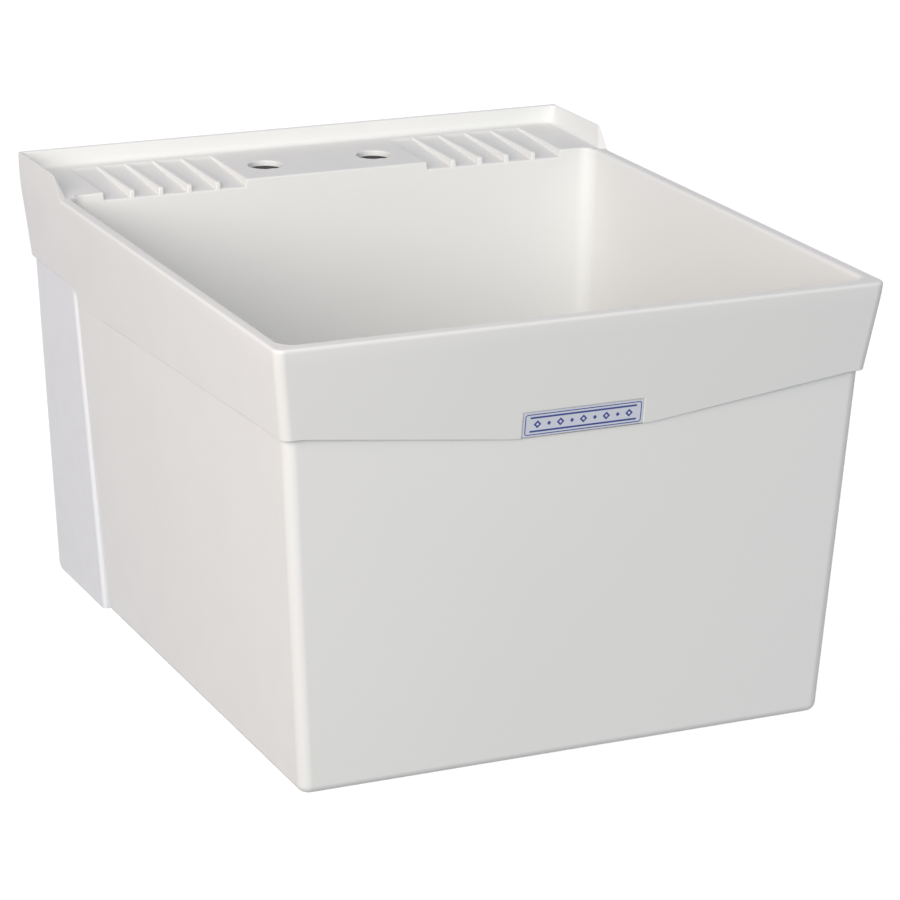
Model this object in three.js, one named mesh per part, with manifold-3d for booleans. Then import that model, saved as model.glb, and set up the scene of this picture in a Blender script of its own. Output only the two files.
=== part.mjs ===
// Utility laundry sink: a wall-hung tub moulded in one piece, the steel brackets and rail that
// hold it, its drain and its stopper.
// Millimetres, +Z up. The wall is the plane y = 0, the front faces -Y and x = 0 is the middle.
// Heights are counted from the rim while the pieces are made; the last lines put the origin
// on the back of the wall rail, where the sink is fastened to the wall.
import * as THREE from 'three';
import { mergeVertices } from 'three/addons/utils/BufferGeometryUtils.js';
import Module from 'manifold-3d';

const wasm = await Module();
wasm.setup();

// ---- driving dimensions ----

const clearance = 0.3; // between pieces that rest on each other
const overshoot = 1; // how far hole cutters run past the faces that they open
const beyond = 12; // how far the larger cutters run past the tub's faces

const sides = { small: 16, medium: 24, large: 40 }; // flat faces round a cylinder
const cornerSteps = 6; // flat faces round a quarter turn of the tub's corners

const tub = {
  width: 508,
  depth: 594, // from the wall to the front rim
  height: 361, // from the rim to the lower edge of the body
  wall: 3.4,
};

const rim = {
  outerRound: 2.5,
  innerRound: 3.4,
  deckRound: 1.5, // where the deck's front edge turns down into the bowl
};

const apron = {
  lean: 0.137, // how far it leans in for each millimetre of height
  cornerHeight: 72.6,
  centreHeight: 93.8,
  flatHalfWidth: 58, // half of the level stretch at its middle
  cornerRun: 26, // level stretch beside each front corner
  sideRearHeight: 88, // at the rear end of the sloping side edge
  bracketHeight: 74.5, // over the wall brackets
  riseRun: 44, // length over which the side edge climbs to the brackets
  riseBend: 15, // from the start of that climb to the bend of its curve
  cornerRadius: 8,
  skirtWall: 2.4, // behind the bowl, where the apron stands free
};

const body = {
  sideInset: 8, // from the rim's outer edge, at rim height
  frontInset: 10.4,
  rearDistance: 96.8, // from the wall, at rim height
  sideDraft: 22.2, // from the rim down to the lower edge
  frontDraft: 15.9,
  rearDraft: 28,
  cornerRadius: 9.6,
  rearCornerRadius: 3,
  lowerRound: 7,
};

const bowl = {
  cornerRadius: 15,
  floorRound: 14,
  floorFall: 8, // from the edge of the floor down to the drain
  drainPadRadius: 46,
  drainPadThickness: 5,
};

const deck = {
  rearHeight: 2.4, // above the rim, at the backsplash
  frontHeight: 1,
  underside: 3.4, // below the rim
  platformHalfWidth: 84,
};

const backsplash = {
  height: 18,
  thickness: 4.1,
  capThickness: 4.5,
  capLength: 93.9, // level top of each end cap, from the wall
  capDrop: 16, // length over which the cap falls to the rim
  capRound: 6,
};

const tray = {
  channelCount: 5, // on each side of the faucet's platform
  ribWidth: 4.5,
  frontDepth: 5.6, // below the rim
  rearDistance: 12, // from the wall to where the channels start
  cornerBlock: 37.5, // level deck between the channels and the end cap
};

const faucetHoles = {
  diameter: 30,
  spacing: 101.6,
  fromWall: 59.4,
};

const label = {
  width: 102,
  top: 72.9, // below the rim
  recessDepth: 1.5,
  plateHeight: 19.6,
  plateThickness: 0.8,
  plateMargin: 0.8,
};

const boss = {
  height: 13.6,
  bracketRadius: 7,
  railRadius: 6.5,
  holeDepth: 12.5,
  rearBossFromWall: 28,
  frontBossFromWall: 76,
  railBossFromWall: 15,
  railBossFromEnd: 56, // of the rail
};

const bracket = {
  sheet: 2.5,
  lean: 0.052, // how far it leans in for each millimetre of height
  topFlange: 38,
  wallFlange: 30,
  frontFlange: 16,
  bossFromFace: 20,
  lowerFrontGap: 3, // to the body's rear corner, at the bottom
  lowerRound: 12,
  wallHoleRadius: 4.5,
  upperHoleDrop: 40, // from the bracket's top
  lowerHoleRise: 45, // from the bracket's bottom
};

const rail = {
  sheet: 3,
  height: 45,
  shelf: 28,
  endGap: 6, // to the brackets
  holeX: 100,
  holeRadius: 4.5,
};

const screw = {
  radius: 2.5,
  headRadius: 4.8,
  headTopRadius: 3.8,
  headHeight: 3.4,
  engagement: 10, // length in the boss
  washerRadius: 6.5,
  washerThickness: 1.2,
};

const drain = {
  flangeRadius: 36,
  flangeThickness: 3,
  flangeBevel: 1.5,
  dishRadius: 30,
  dishDepth: 2.5,
  seatRadius: 25.5, // outer edge of the stopper's seat
  throatRadius: 20,
  outletRadius: 17.5,
  threadRadius: 22.5,
  tubHoleClearance: 1.5,
  ledgeDepth: 22, // from the flange's top to the strainer
  threadLength: 40, // below the floor's top
  crossbarWidth: 7,
  crossbarHeight: 6,
  gasketThickness: 1.5,
  gasketRadius: 34,
  washerThickness: 3,
  washerRadius: 35,
  frictionThickness: 1,
  frictionRadius: 34,
  nutFlats: 58,
  nutHeight: 8,
};

const strainer = {
  thickness: 1.5,
  holeRadius: 2.9,
  holeCircle: 11.5,
  holeCount: 8,
  screwRadius: 2,
  screwHeadRadius: 4.4,
  screwHeadTopRadius: 3.1,
  screwHeadHeight: 2,
  screwLength: 9,
};

const coupling = {
  flats: 55,
  height: 22,
  pipeRadius: 19.4, // a 38.1 mm waste pipe and its clearance
  lipThickness: 3,
  washerThickness: 4,
};

const stopper = {
  flangeRadius: 24,
  flangeThickness: 4,
  flangeBevel: 1.3,
  plugDepth: 12,
  plugTopRadius: 19.4,
  plugLowerRadius: 18.4,
  eyeThickness: 4,
  eyeRadius: 5.6,
  eyeHeight: 6.5, // of the hole's middle above the stopper's top
  eyeHoleRadius: 2.6,
  ringRadius: 11,
  ringWire: 1.2, // radius of the wire
  wireSides: 8,
};

// ---- materials ----

function finish(color, roughness, metalness) {
  return () => new THREE.MeshStandardMaterial({ color, roughness, metalness, flatShading: true });
}

const whiteMoulding = finish(0xe4e4e2, 0.38, 0);
const whiteCoatedSteel = finish(0xdcdce4, 0.42, 0.1);
const zincSteel = finish(0xb4b7ba, 0.42, 0.9);
const polishedSteel = finish(0xc9cbcd, 0.22, 1);
const brass = finish(0xb58f4a, 0.35, 0.95);
const blackRubber = finish(0x232325, 0.75, 0);
const greyFibre = finish(0x8c8a84, 0.8, 0);
const whitePlastic = finish(0xe6e5e0, 0.5, 0);
const labelFoil = finish(0xdfe3ee, 0.4, 0.1);

// ---- solids: joins, cuts and basic forms ----

function signedVolume(position, index) {
  const a = new THREE.Vector3();
  const b = new THREE.Vector3();
  const c = new THREE.Vector3();
  let total = 0;
  for (let i = 0; i < index.count; i += 3) {
    a.fromBufferAttribute(position, index.getX(i));
    b.fromBufferAttribute(position, index.getX(i + 1));
    c.fromBufferAttribute(position, index.getX(i + 2));
    total += a.dot(b.cross(c));
  }
  return total;
}

// A closed geometry as a solid, with its faces pointing out.
function solid(geometry) {
  const open = geometry.clone();
  open.deleteAttribute('normal');
  open.deleteAttribute('uv');
  const merged = mergeVertices(open, 1e-4);
  const inward = signedVolume(merged.attributes.position, merged.index) < 0;
  const triangles = [];
  for (let i = 0; i < merged.index.count; i += 3) {
    const a = merged.index.getX(i);
    const b = merged.index.getX(i + 1);
    const c = merged.index.getX(i + 2);
    if (a === b || b === c || c === a) continue;
    triangles.push(...(inward ? [a, c, b] : [a, b, c]));
  }
  return new wasm.Manifold(new wasm.Mesh({
    numProp: 3,
    vertProperties: new Float32Array(merged.attributes.position.array),
    triVerts: new Uint32Array(triangles),
  }));
}

function geometryOf(manifold) {
  const { vertProperties, triVerts } = manifold.getMesh();
  const geometry = new THREE.BufferGeometry();
  geometry.setAttribute('position', new THREE.BufferAttribute(vertProperties, 3));
  geometry.setIndex(new THREE.BufferAttribute(triVerts, 1));
  geometry.computeVertexNormals();
  return geometry;
}

function join(solids) {
  return solids.reduce((whole, piece) => whole.add(piece));
}

function cut(whole, cutters) {
  return cutters.reduce((rest, cutter) => rest.subtract(cutter), whole);
}

// Prisms: an outline of [a, b] points, or a shape, carried along one axis.
function extrude(outline, length) {
  const flat = outline instanceof THREE.Shape;
  const shape = flat ? outline : new THREE.Shape(outline.map(([a, b]) => new THREE.Vector2(a, b)));
  return new THREE.ExtrudeGeometry(shape, { depth: length, bevelEnabled: false, curveSegments: 8 });
}

const shapeToX = new THREE.Matrix4().makeBasis(
  new THREE.Vector3(0, 1, 0), new THREE.Vector3(0, 0, 1), new THREE.Vector3(1, 0, 0));
const shapeToY = new THREE.Matrix4().makeBasis(
  new THREE.Vector3(1, 0, 0), new THREE.Vector3(0, 0, 1), new THREE.Vector3(0, -1, 0));

// The outline lies in (y, z) and runs from x0 to x1.
function prismAlongX(outline, x0, x1) {
  const low = Math.min(x0, x1);
  return solid(extrude(outline, Math.abs(x1 - x0)).applyMatrix4(shapeToX).translate(low, 0, 0));
}

// The outline lies in (x, z) and runs from y0 to y1.
function prismAlongY(outline, y0, y1) {
  const high = Math.max(y0, y1);
  return solid(extrude(outline, Math.abs(y1 - y0)).applyMatrix4(shapeToY).translate(0, high, 0));
}

function block(x0, x1, y0, y1, z0, z1) {
  const geometry = new THREE.BoxGeometry(Math.abs(x1 - x0), Math.abs(y1 - y0), Math.abs(z1 - z0));
  return solid(geometry.translate((x0 + x1) / 2, (y0 + y1) / 2, (z0 + z1) / 2));
}

function upright(radius, x, y, z0, z1, faces) {
  const geometry = new THREE.CylinderGeometry(radius, radius, Math.abs(z1 - z0), faces);
  return solid(geometry.rotateX(Math.PI / 2).translate(x, y, (z0 + z1) / 2));
}

// A closed (radius, z) profile turned about the upright line through (x, y).
function turned(profile, x, y, faces) {
  const points = [...profile, profile[0]].map(([radius, z]) => new THREE.Vector2(radius, z));
  return solid(new THREE.LatheGeometry(points, faces).rotateX(Math.PI / 2).translate(x, y, 0));
}

function ring(inner, outer, x, y, z0, z1, faces) {
  return turned([[inner, z0], [outer, z0], [outer, z1], [inner, z1]], x, y, faces);
}

function hexagon(flats, x, y, z0, z1) {
  return upright(flats / Math.sqrt(3), x, y, z0, z1, 6);
}

// A level rounded rectangle, anticlockwise from above.
function roundedLoop({ halfWidth, front, rear, z, frontRadius, rearRadius }) {
  const corners = [
    [halfWidth - frontRadius, front + frontRadius, frontRadius, -90],
    [halfWidth - rearRadius, rear - rearRadius, rearRadius, 0],
    [-halfWidth + rearRadius, rear - rearRadius, rearRadius, 90],
    [-halfWidth + frontRadius, front + frontRadius, frontRadius, 180],
  ];
  return corners.flatMap(([x, y, radius, start]) => Array.from({ length: cornerSteps + 1 }, (_, step) => {
    const angle = THREE.MathUtils.degToRad(start + (90 * step) / cornerSteps);
    return new THREE.Vector3(x + radius * Math.cos(angle), y + radius * Math.sin(angle), z);
  }));
}

// The same number of points on a circle, each in line with its point of the loop.
function circleLike(loop, x, y, z, radius) {
  return loop.map((point) => {
    const angle = Math.atan2(point.y - y, point.x - x);
    return new THREE.Vector3(x + radius * Math.cos(angle), y + radius * Math.sin(angle), z);
  });
}

// A solid through level loops that are listed from the top down.
function loft(loops) {
  const count = loops[0].length;
  const points = loops.flat();
  const faces = [];
  for (let level = 0; level < loops.length - 1; level += 1) {
    for (let i = 0; i < count; i += 1) {
      const a = level * count + i;
      const b = level * count + ((i + 1) % count);
      faces.push(a, a + count, b, b, a + count, b + count);
    }
  }
  for (const [level, turn] of [[0, 0], [loops.length - 1, 1]]) {
    const middle = points.length;
    const centre = loops[level].reduce((sum, point) => sum.add(point), new THREE.Vector3());
    points.push(centre.divideScalar(count));
    for (let i = 0; i < count; i += 1) {
      const pair = [level * count + i, level * count + ((i + 1) % count)];
      faces.push(middle, pair[turn], pair[1 - turn]);
    }
  }
  const geometry = new THREE.BufferGeometry().setFromPoints(points);
  geometry.setIndex(faces);
  return solid(geometry);
}

// ---- faces of the tub, as functions of the height z below the rim ----

const halfWidth = tub.width / 2;
const apronSetback = (z) => apron.lean * Math.max(0, -z - rim.outerRound);
const apronX = (z) => halfWidth - apronSetback(z);
const apronFront = (z) => -tub.depth + apronSetback(z);
const bodyX = (z) => halfWidth - body.sideInset + (body.sideDraft * z) / tub.height;
const bodyFront = (z) => -tub.depth + body.frontInset - (body.frontDraft * z) / tub.height;
const bodyRear = (z) => -body.rearDistance + (body.rearDraft * z) / tub.height;
const bowlX = (z) => bodyX(z) - tub.wall;
const bowlFront = (z) => bodyFront(z) + tub.wall;
const bowlRear = (z) => bodyRear(z) - tub.wall;

const deckHeightAt = (y) => {
  const run = body.rearDistance - backsplash.thickness;
  const share = (-y - backsplash.thickness) / run;
  return deck.rearHeight + (deck.frontHeight - deck.rearHeight) * share;
};

const below = apron.centreHeight + beyond; // lower end of the apron before its edges are cut
const drainX = 0;
const drainY = (bowlFront(-tub.height) + bowlRear(-tub.height)) / 2;
const padUnder = -tub.height - bowl.floorFall;
const padTop = padUnder + bowl.drainPadThickness;

const trayEndX = halfWidth - backsplash.capThickness - tray.cornerBlock;
const channelPitch = (trayEndX - deck.platformHalfWidth) / tray.channelCount;

const supportTop = -deck.underside - boss.height - clearance; // top of the steel under the bosses
const skirtInner = apronX(-apron.bracketHeight) - apron.skirtWall;
const bracketX = (z) => skirtInner - clearance + bracket.lean * (z + apron.bracketHeight);
const bracketBossX = bracketX(supportTop) - bracket.bossFromFace;
const railBottom = supportTop - rail.height;
const railMiddle = (supportTop + railBottom) / 2;
const railHalfLength = bracketX(railBottom) - bracket.wallFlange - rail.endGap;
const railBossX = railHalfLength - boss.railBossFromEnd;

// The bosses under the deck and the sheet that each one's screw and washer hold to it.
const sideNames = [['left', -1], ['right', 1]];
const bracketBosses = sideNames.flatMap(([name, side]) => {
  const shared = { side, x: side * bracketBossX, radius: boss.bracketRadius, sheet: bracket.sheet };
  return [
    { ...shared, name: `${name}_bracket_rear`, y: -boss.rearBossFromWall },
    { ...shared, name: `${name}_bracket_front`, y: -boss.frontBossFromWall },
  ];
});
const railBosses = sideNames.map(([name, side]) => {
  const shared = { x: side * railBossX, y: -boss.railBossFromWall, radius: boss.railRadius };
  return { ...shared, name: `${name}_rail`, sheet: rail.sheet };
});
const bosses = [...bracketBosses, ...railBosses];
const bossFoot = -deck.underside - boss.height;

// ---- the moulded tub ----

function bodyLoop(z, inset) {
  return roundedLoop({
    halfWidth: bodyX(z) - inset,
    front: bodyFront(z) + inset,
    rear: bodyRear(z) - inset,
    z,
    frontRadius: body.cornerRadius,
    rearRadius: body.rearCornerRadius,
  });
}

function bowlLoop(z, inset, flare = 0, rearFlare = 0) {
  return roundedLoop({
    halfWidth: bowlX(z) - inset + flare,
    front: bowlFront(z) + inset - flare,
    rear: bowlRear(z) - inset + rearFlare,
    z,
    frontRadius: bowl.cornerRadius,
    rearRadius: bowl.cornerRadius,
  });
}

// Loops round the lower edge of a wall that ends at the height z.
function roundedFoot(makeLoop, z, radius) {
  return [0, 30, 60, 90].map((degrees) => {
    const angle = THREE.MathUtils.degToRad(degrees);
    return makeLoop(z + radius * (1 - Math.sin(angle)), radius * (1 - Math.cos(angle)));
  });
}

function bodySolid() {
  const foot = roundedFoot(bodyLoop, -tub.height, body.lowerRound);
  const pad = circleLike(foot.at(-1), drainX, drainY, padUnder, bowl.drainPadRadius);
  return loft([bodyLoop(0, 0), ...foot, pad]);
}

function bowlCutter() {
  const floor = -tub.height + tub.wall;
  const foot = roundedFoot(bowlLoop, floor, bowl.floorRound);
  const pad = circleLike(foot.at(-1), drainX, drainY, padTop, bowl.drainPadRadius);
  const rolled = (degrees) => {
    const angle = THREE.MathUtils.degToRad(degrees);
    const drop = rim.innerRound * (1 - Math.sin(angle));
    const share = 1 - Math.cos(angle);
    return bowlLoop(-drop, 0, rim.innerRound * share, rim.deckRound * share);
  };
  const mouth = [90, 60, 30, 0].map(rolled);
  const above = mouth[0].map((point) => new THREE.Vector3(point.x, point.y, backsplash.height + beyond));
  return loft([above, ...mouth, ...foot, pad]);
}

function apronLoop(z, inset) {
  return roundedLoop({
    halfWidth: apronX(z) - inset,
    front: apronFront(z) + inset,
    rear: 0,
    z,
    frontRadius: apron.cornerRadius,
    rearRadius: 0,
  });
}

// The space behind the bowl, between the free ends of the apron.
function plumbingSpace() {
  const loopAt = (z) => roundedLoop({
    halfWidth: apronX(z) - apron.skirtWall,
    front: bodyRear(z) - body.rearCornerRadius,
    rear: beyond,
    z,
    frontRadius: 0,
    rearRadius: 0,
  });
  return loft([loopAt(-deck.underside), loopAt(-below)]);
}

// What lies under the front edge: level at both corners, falling to a level middle.
function frontEdgeCutter() {
  const slopeX = halfWidth - apron.cornerRun;
  const reach = halfWidth + beyond;
  const outline = [
    [-reach, -apron.cornerHeight],
    [-reach, -below - beyond],
    [reach, -below - beyond],
    [reach, -apron.cornerHeight],
    [slopeX, -apron.cornerHeight],
    [apron.flatHalfWidth, -apron.centreHeight],
    [-apron.flatHalfWidth, -apron.centreHeight],
    [-slopeX, -apron.cornerHeight],
  ];
  return prismAlongY(outline, -tub.depth - beyond, -tub.depth + apron.cornerRun);
}

// What lies under the side edges: falling towards the rear, then climbing over the brackets.
function sideEdgeCutter() {
  const frontY = -tub.depth + apron.cornerRun;
  const riseEnd = bodyRear(-apron.bracketHeight);
  const riseStart = riseEnd - apron.riseRun;
  const shape = new THREE.Shape();
  shape.moveTo(frontY, -below - beyond);
  shape.lineTo(beyond, -below - beyond);
  shape.lineTo(beyond, -apron.bracketHeight);
  shape.lineTo(riseEnd, -apron.bracketHeight);
  shape.quadraticCurveTo(
    riseStart + apron.riseBend, -apron.sideRearHeight, riseStart, -apron.sideRearHeight);
  shape.lineTo(frontY, -apron.cornerHeight);
  return prismAlongX(shape, -halfWidth - beyond, halfWidth + beyond);
}

// The label's recess, parallel to the leaning apron and open at its lower edge.
function labelRecess() {
  const floorY = (z) => apronFront(z) + label.recessDepth;
  const outline = [
    [floorY(-label.top), -label.top],
    [-tub.depth - beyond, -label.top],
    [-tub.depth - beyond, -below],
    [floorY(-below), -below],
  ];
  return prismAlongX(outline, -label.width / 2, label.width / 2);
}

function apronSolid() {
  const round = rim.outerRound;
  const edge = [90, 45, 0].map((degrees) => {
    const angle = THREE.MathUtils.degToRad(degrees);
    return apronLoop(-round * (1 - Math.sin(angle)), round * (1 - Math.cos(angle)));
  });
  const whole = loft([...edge, apronLoop(-below, 0)]);
  return cut(whole, [frontEdgeCutter(), sideEdgeCutter(), labelRecess(), plumbingSpace()]);
}

function deckSolid() {
  const front = bowlRear(0) - rim.innerRound;
  const outline = [
    [-backsplash.thickness / 2, -deck.underside],
    [-backsplash.thickness / 2, deckHeightAt(-backsplash.thickness)],
    [front, deckHeightAt(front)],
    [front, -deck.underside],
  ];
  const reach = halfWidth - backsplash.capThickness / 2;
  return prismAlongX(outline, -reach, reach);
}

// The floor line of the channels: at the deck's height at the rear, below the rim in front.
function channelFloor(y) {
  const start = -tray.rearDistance;
  const share = (y - start) / (bowlRear(0) - start);
  return deckHeightAt(start) + (-tray.frontDepth - deckHeightAt(start)) * share;
}

function trayPan(side) {
  const rear = -tray.rearDistance + tub.wall;
  const front = bowlRear(0) - rim.innerRound;
  const outline = [
    [rear, 0],
    [rear, -deck.underside],
    [-tray.rearDistance, -deck.underside],
    [front, channelFloor(front) - tub.wall],
    [front, 0],
  ];
  const inner = deck.platformHalfWidth - tub.wall;
  return prismAlongX(outline, side * inner, side * (trayEndX + tub.wall));
}

function channelCutters(side) {
  const rear = -tray.rearDistance;
  const front = bowlRear(0) - beyond;
  const outline = [
    [rear, channelFloor(rear)],
    [rear, backsplash.height],
    [front, backsplash.height],
    [front, channelFloor(front)],
  ];
  const halfRib = tray.ribWidth / 2;
  return Array.from({ length: tray.channelCount }, (_, k) => {
    const first = k === 0;
    const last = k === tray.channelCount - 1;
    const inner = deck.platformHalfWidth + k * channelPitch + (first ? 0 : halfRib);
    const outer = deck.platformHalfWidth + (k + 1) * channelPitch - (last ? 0 : halfRib);
    return prismAlongX(outline, side * inner, side * outer);
  });
}

function backsplashSolid() {
  const panel = block(-halfWidth, halfWidth, -backsplash.thickness, 0, -deck.underside, backsplash.height);
  const shape = new THREE.Shape();
  const dropEnd = -backsplash.capLength - backsplash.capDrop;
  const fall = backsplash.height / Math.hypot(backsplash.height, backsplash.capDrop);
  const run = backsplash.capDrop / Math.hypot(backsplash.height, backsplash.capDrop);
  shape.moveTo(0, -rim.outerRound);
  shape.lineTo(0, backsplash.height);
  shape.lineTo(-backsplash.capLength + backsplash.capRound, backsplash.height);
  shape.quadraticCurveTo(
    -backsplash.capLength,
    backsplash.height,
    -backsplash.capLength - run * backsplash.capRound,
    backsplash.height - fall * backsplash.capRound,
  );
  shape.lineTo(dropEnd, 0);
  shape.lineTo(dropEnd, -rim.outerRound);
  const caps = [-1, 1].map((side) => {
    return prismAlongX(shape, side * (halfWidth - backsplash.capThickness), side * halfWidth);
  });
  return join([panel, ...caps]);
}

function bossSolids() {
  const top = -deck.underside + deck.frontHeight;
  return bosses.map(({ x, y, radius }) => upright(radius, x, y, bossFoot, top, sides.medium));
}

function bossHoles() {
  return bosses.map(({ x, y }) => upright(
    screw.radius + clearance, x, y, bossFoot - overshoot, bossFoot + boss.holeDepth, sides.small));
}

function tubShell() {
  const holeX = faucetHoles.spacing / 2;
  const holes = [-holeX, holeX].map((x) => upright(
    faucetHoles.diameter / 2, x, -faucetHoles.fromWall, bossFoot, backsplash.height, sides.large));
  const drainHole = upright(
    drain.threadRadius + drain.tubHoleClearance,
    drainX,
    drainY,
    padUnder - overshoot,
    padTop + overshoot,
    sides.large,
  );
  const whole = join([
    apronSolid(),
    bodySolid(),
    deckSolid(),
    trayPan(-1),
    trayPan(1),
    backsplashSolid(),
    ...bossSolids(),
  ]);
  return cut(whole, [
    bowlCutter(),
    ...channelCutters(-1),
    ...channelCutters(1),
    ...holes,
    drainHole,
    ...bossHoles(),
  ]);
}

function nameplate() {
  const low = -label.top - label.plateMargin - label.plateHeight;
  const high = -label.top - label.plateMargin;
  const backY = (z) => apronFront(z) + label.recessDepth - clearance;
  const outline = [
    [backY(low), low],
    [backY(high), high],
    [backY(high) - label.plateThickness, high],
    [backY(low) - label.plateThickness, low],
  ];
  const reach = label.width / 2 - label.plateMargin;
  return prismAlongX(outline, -reach, reach);
}

// ---- steel brackets, rail and screws ----

const bracketBottom = -tub.height;

// A pressed sheet that leans with the tub's side: it is made upright, then sheared.
function wallBracket(side) {
  const face = side * bracketX(0);
  const inner = (width) => face - side * width;
  const frontTop = bodyRear(supportTop) + clearance;
  const frontLow = bodyRear(bracketBottom) + bracket.lowerFrontGap;
  const plate = new THREE.Shape();
  plate.moveTo(0, supportTop);
  plate.lineTo(frontTop, supportTop);
  plate.lineTo(frontLow, bracketBottom);
  plate.lineTo(-bracket.lowerRound, bracketBottom);
  plate.absarc(
    -bracket.lowerRound, bracketBottom + bracket.lowerRound, bracket.lowerRound, -Math.PI / 2, 0, false);
  const flangeLow = bracketBottom + bracket.lowerRound;
  const frontFlange = [
    [frontTop, supportTop],
    [frontLow, bracketBottom],
    [frontLow + bracket.sheet, bracketBottom],
    [frontTop + bracket.sheet, supportTop],
  ];
  const whole = join([
    prismAlongX(plate, face, inner(bracket.sheet)),
    block(face, inner(bracket.wallFlange), -bracket.sheet, 0, flangeLow, supportTop),
    block(face, inner(bracket.topFlange), frontTop, 0, supportTop - bracket.sheet, supportTop),
    prismAlongX(frontFlange, face, inner(bracket.frontFlange)),
  ]);
  const lean = new THREE.Matrix4().makeShear(0, 0, 0, 0, side * bracket.lean, 0);
  const leaning = solid(geometryOf(whole).applyMatrix4(lean));
  const screwHoles = bracketBosses.filter((entry) => entry.side === side).map(sheetHole);
  const wallHoles = [supportTop - bracket.upperHoleDrop, bracketBottom + bracket.lowerHoleRise].map((z) => {
    const x = side * (bracketX(z) - bracket.sheet / 2 - bracket.wallFlange / 2);
    return wallHole(x, z, bracket.wallHoleRadius, bracket.sheet);
  });
  return cut(leaning, [...screwHoles, ...wallHoles]);
}

// The hole for a boss's screw, through the sheet under the boss.
function sheetHole({ x, y, sheet }) {
  return upright(
    screw.radius + clearance, x, y, supportTop - sheet - overshoot, supportTop + overshoot, sides.small);
}

// A level hole through a sheet that lies on the wall.
function wallHole(x, z, radius, sheet) {
  const length = sheet + 2 * overshoot;
  const geometry = new THREE.CylinderGeometry(radius, radius, length, sides.medium);
  return solid(geometry.translate(x, -sheet / 2, z));
}

function wallRail() {
  const whole = join([
    block(-railHalfLength, railHalfLength, -rail.sheet, 0, railBottom, supportTop),
    block(-railHalfLength, railHalfLength, -rail.shelf, 0, supportTop - rail.sheet, supportTop),
  ]);
  const wallHoles = [-rail.holeX, rail.holeX].map((x) => {
    return wallHole(x, railMiddle, rail.holeRadius, rail.sheet);
  });
  return cut(whole, [...railBosses.map(sheetHole), ...wallHoles]);
}

function screwWasher({ x, y, sheet }) {
  const top = supportTop - sheet - clearance;
  const low = top - screw.washerThickness;
  return ring(screw.radius + clearance, screw.washerRadius, x, y, low, top, sides.medium);
}

function mountingScrew({ x, y, sheet }) {
  const seat = supportTop - sheet - 2 * clearance - screw.washerThickness;
  const tip = bossFoot + screw.engagement;
  const profile = [
    [0, seat - screw.headHeight],
    [screw.headTopRadius, seat - screw.headHeight],
    [screw.headRadius, seat - screw.headHeight / 2],
    [screw.headRadius, seat],
    [screw.radius, seat],
    [screw.radius, tip - screw.radius],
    [0, tip],
  ];
  return turned(profile, x, y, sides.small);
}

// ---- drain ----

const gasketTop = padTop + clearance + drain.gasketThickness;
const flangeUnder = gasketTop + clearance;
const flangeTop = flangeUnder + drain.flangeThickness;
const seatHeight = flangeTop - drain.dishDepth;
const ledgeHeight = flangeTop - drain.ledgeDepth;
const threadEnd = padTop - drain.threadLength;

function drainBody() {
  const profile = [
    [drain.outletRadius, threadEnd],
    [drain.threadRadius, threadEnd],
    [drain.threadRadius, flangeUnder],
    [drain.flangeRadius, flangeUnder],
    [drain.flangeRadius, flangeTop - drain.flangeBevel],
    [drain.flangeRadius - drain.flangeBevel, flangeTop],
    [drain.dishRadius, flangeTop],
    [drain.seatRadius, seatHeight],
    [drain.throatRadius, seatHeight],
    [drain.throatRadius, ledgeHeight],
    [drain.outletRadius, ledgeHeight],
  ];
  const halfBar = drain.crossbarWidth / 2;
  const barFoot = ledgeHeight - drain.crossbarHeight;
  const reach = (drain.outletRadius + drain.threadRadius) / 2;
  const bar = block(drainX - reach, drainX + reach, drainY - halfBar, drainY + halfBar, barFoot, ledgeHeight);
  const whole = join([turned(profile, drainX, drainY, sides.large), bar]);
  return cut(whole, [strainerScrewHole(barFoot, ledgeHeight)]);
}

function strainerScrewHole(low, high) {
  return upright(
    strainer.screwRadius + clearance, drainX, drainY, low - overshoot, high + overshoot, sides.small);
}

function strainerPlate() {
  const low = ledgeHeight + clearance;
  const high = low + strainer.thickness;
  const disc = upright(drain.throatRadius - clearance, drainX, drainY, low, high, sides.large);
  const holes = Array.from({ length: strainer.holeCount }, (_, k) => {
    const angle = (2 * Math.PI * (k + 0.5)) / strainer.holeCount;
    const x = drainX + strainer.holeCircle * Math.cos(angle);
    const y = drainY + strainer.holeCircle * Math.sin(angle);
    return upright(strainer.holeRadius, x, y, low - overshoot, high + overshoot, sides.small);
  });
  return cut(disc, [strainerScrewHole(low, high), ...holes]);
}

function strainerScrew() {
  const seat = ledgeHeight + 2 * clearance + strainer.thickness;
  const profile = [
    [0, seat - strainer.screwLength],
    [strainer.screwRadius, seat - strainer.screwLength],
    [strainer.screwRadius, seat],
    [strainer.screwHeadRadius, seat],
    [strainer.screwHeadTopRadius, seat + strainer.screwHeadHeight],
    [0, seat + strainer.screwHeadHeight],
  ];
  return turned(profile, drainX, drainY, sides.small);
}

const threadClear = drain.threadRadius + clearance;
const rubberTop = padUnder - clearance;
const frictionTop = rubberTop - drain.washerThickness - clearance;
const nutTop = frictionTop - drain.frictionThickness - clearance;

function drainRing(outer, top, thickness) {
  return ring(threadClear, outer, drainX, drainY, top - thickness, top, sides.large);
}

function lockNut() {
  const nutFoot = nutTop - drain.nutHeight;
  const whole = hexagon(drain.nutFlats, drainX, drainY, nutFoot, nutTop);
  const bore = upright(threadClear, drainX, drainY, nutFoot - overshoot, nutTop + overshoot, sides.large);
  return cut(whole, [bore]);
}

const couplingWasherTop = threadEnd - clearance;
const couplingLip = couplingWasherTop - coupling.washerThickness - clearance;
const couplingBottom = couplingLip - coupling.lipThickness;

function couplingWasher() {
  const low = couplingWasherTop - coupling.washerThickness;
  const { pipeRadius } = coupling;
  return ring(pipeRadius, drain.threadRadius, drainX, drainY, low, couplingWasherTop, sides.large);
}

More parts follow.
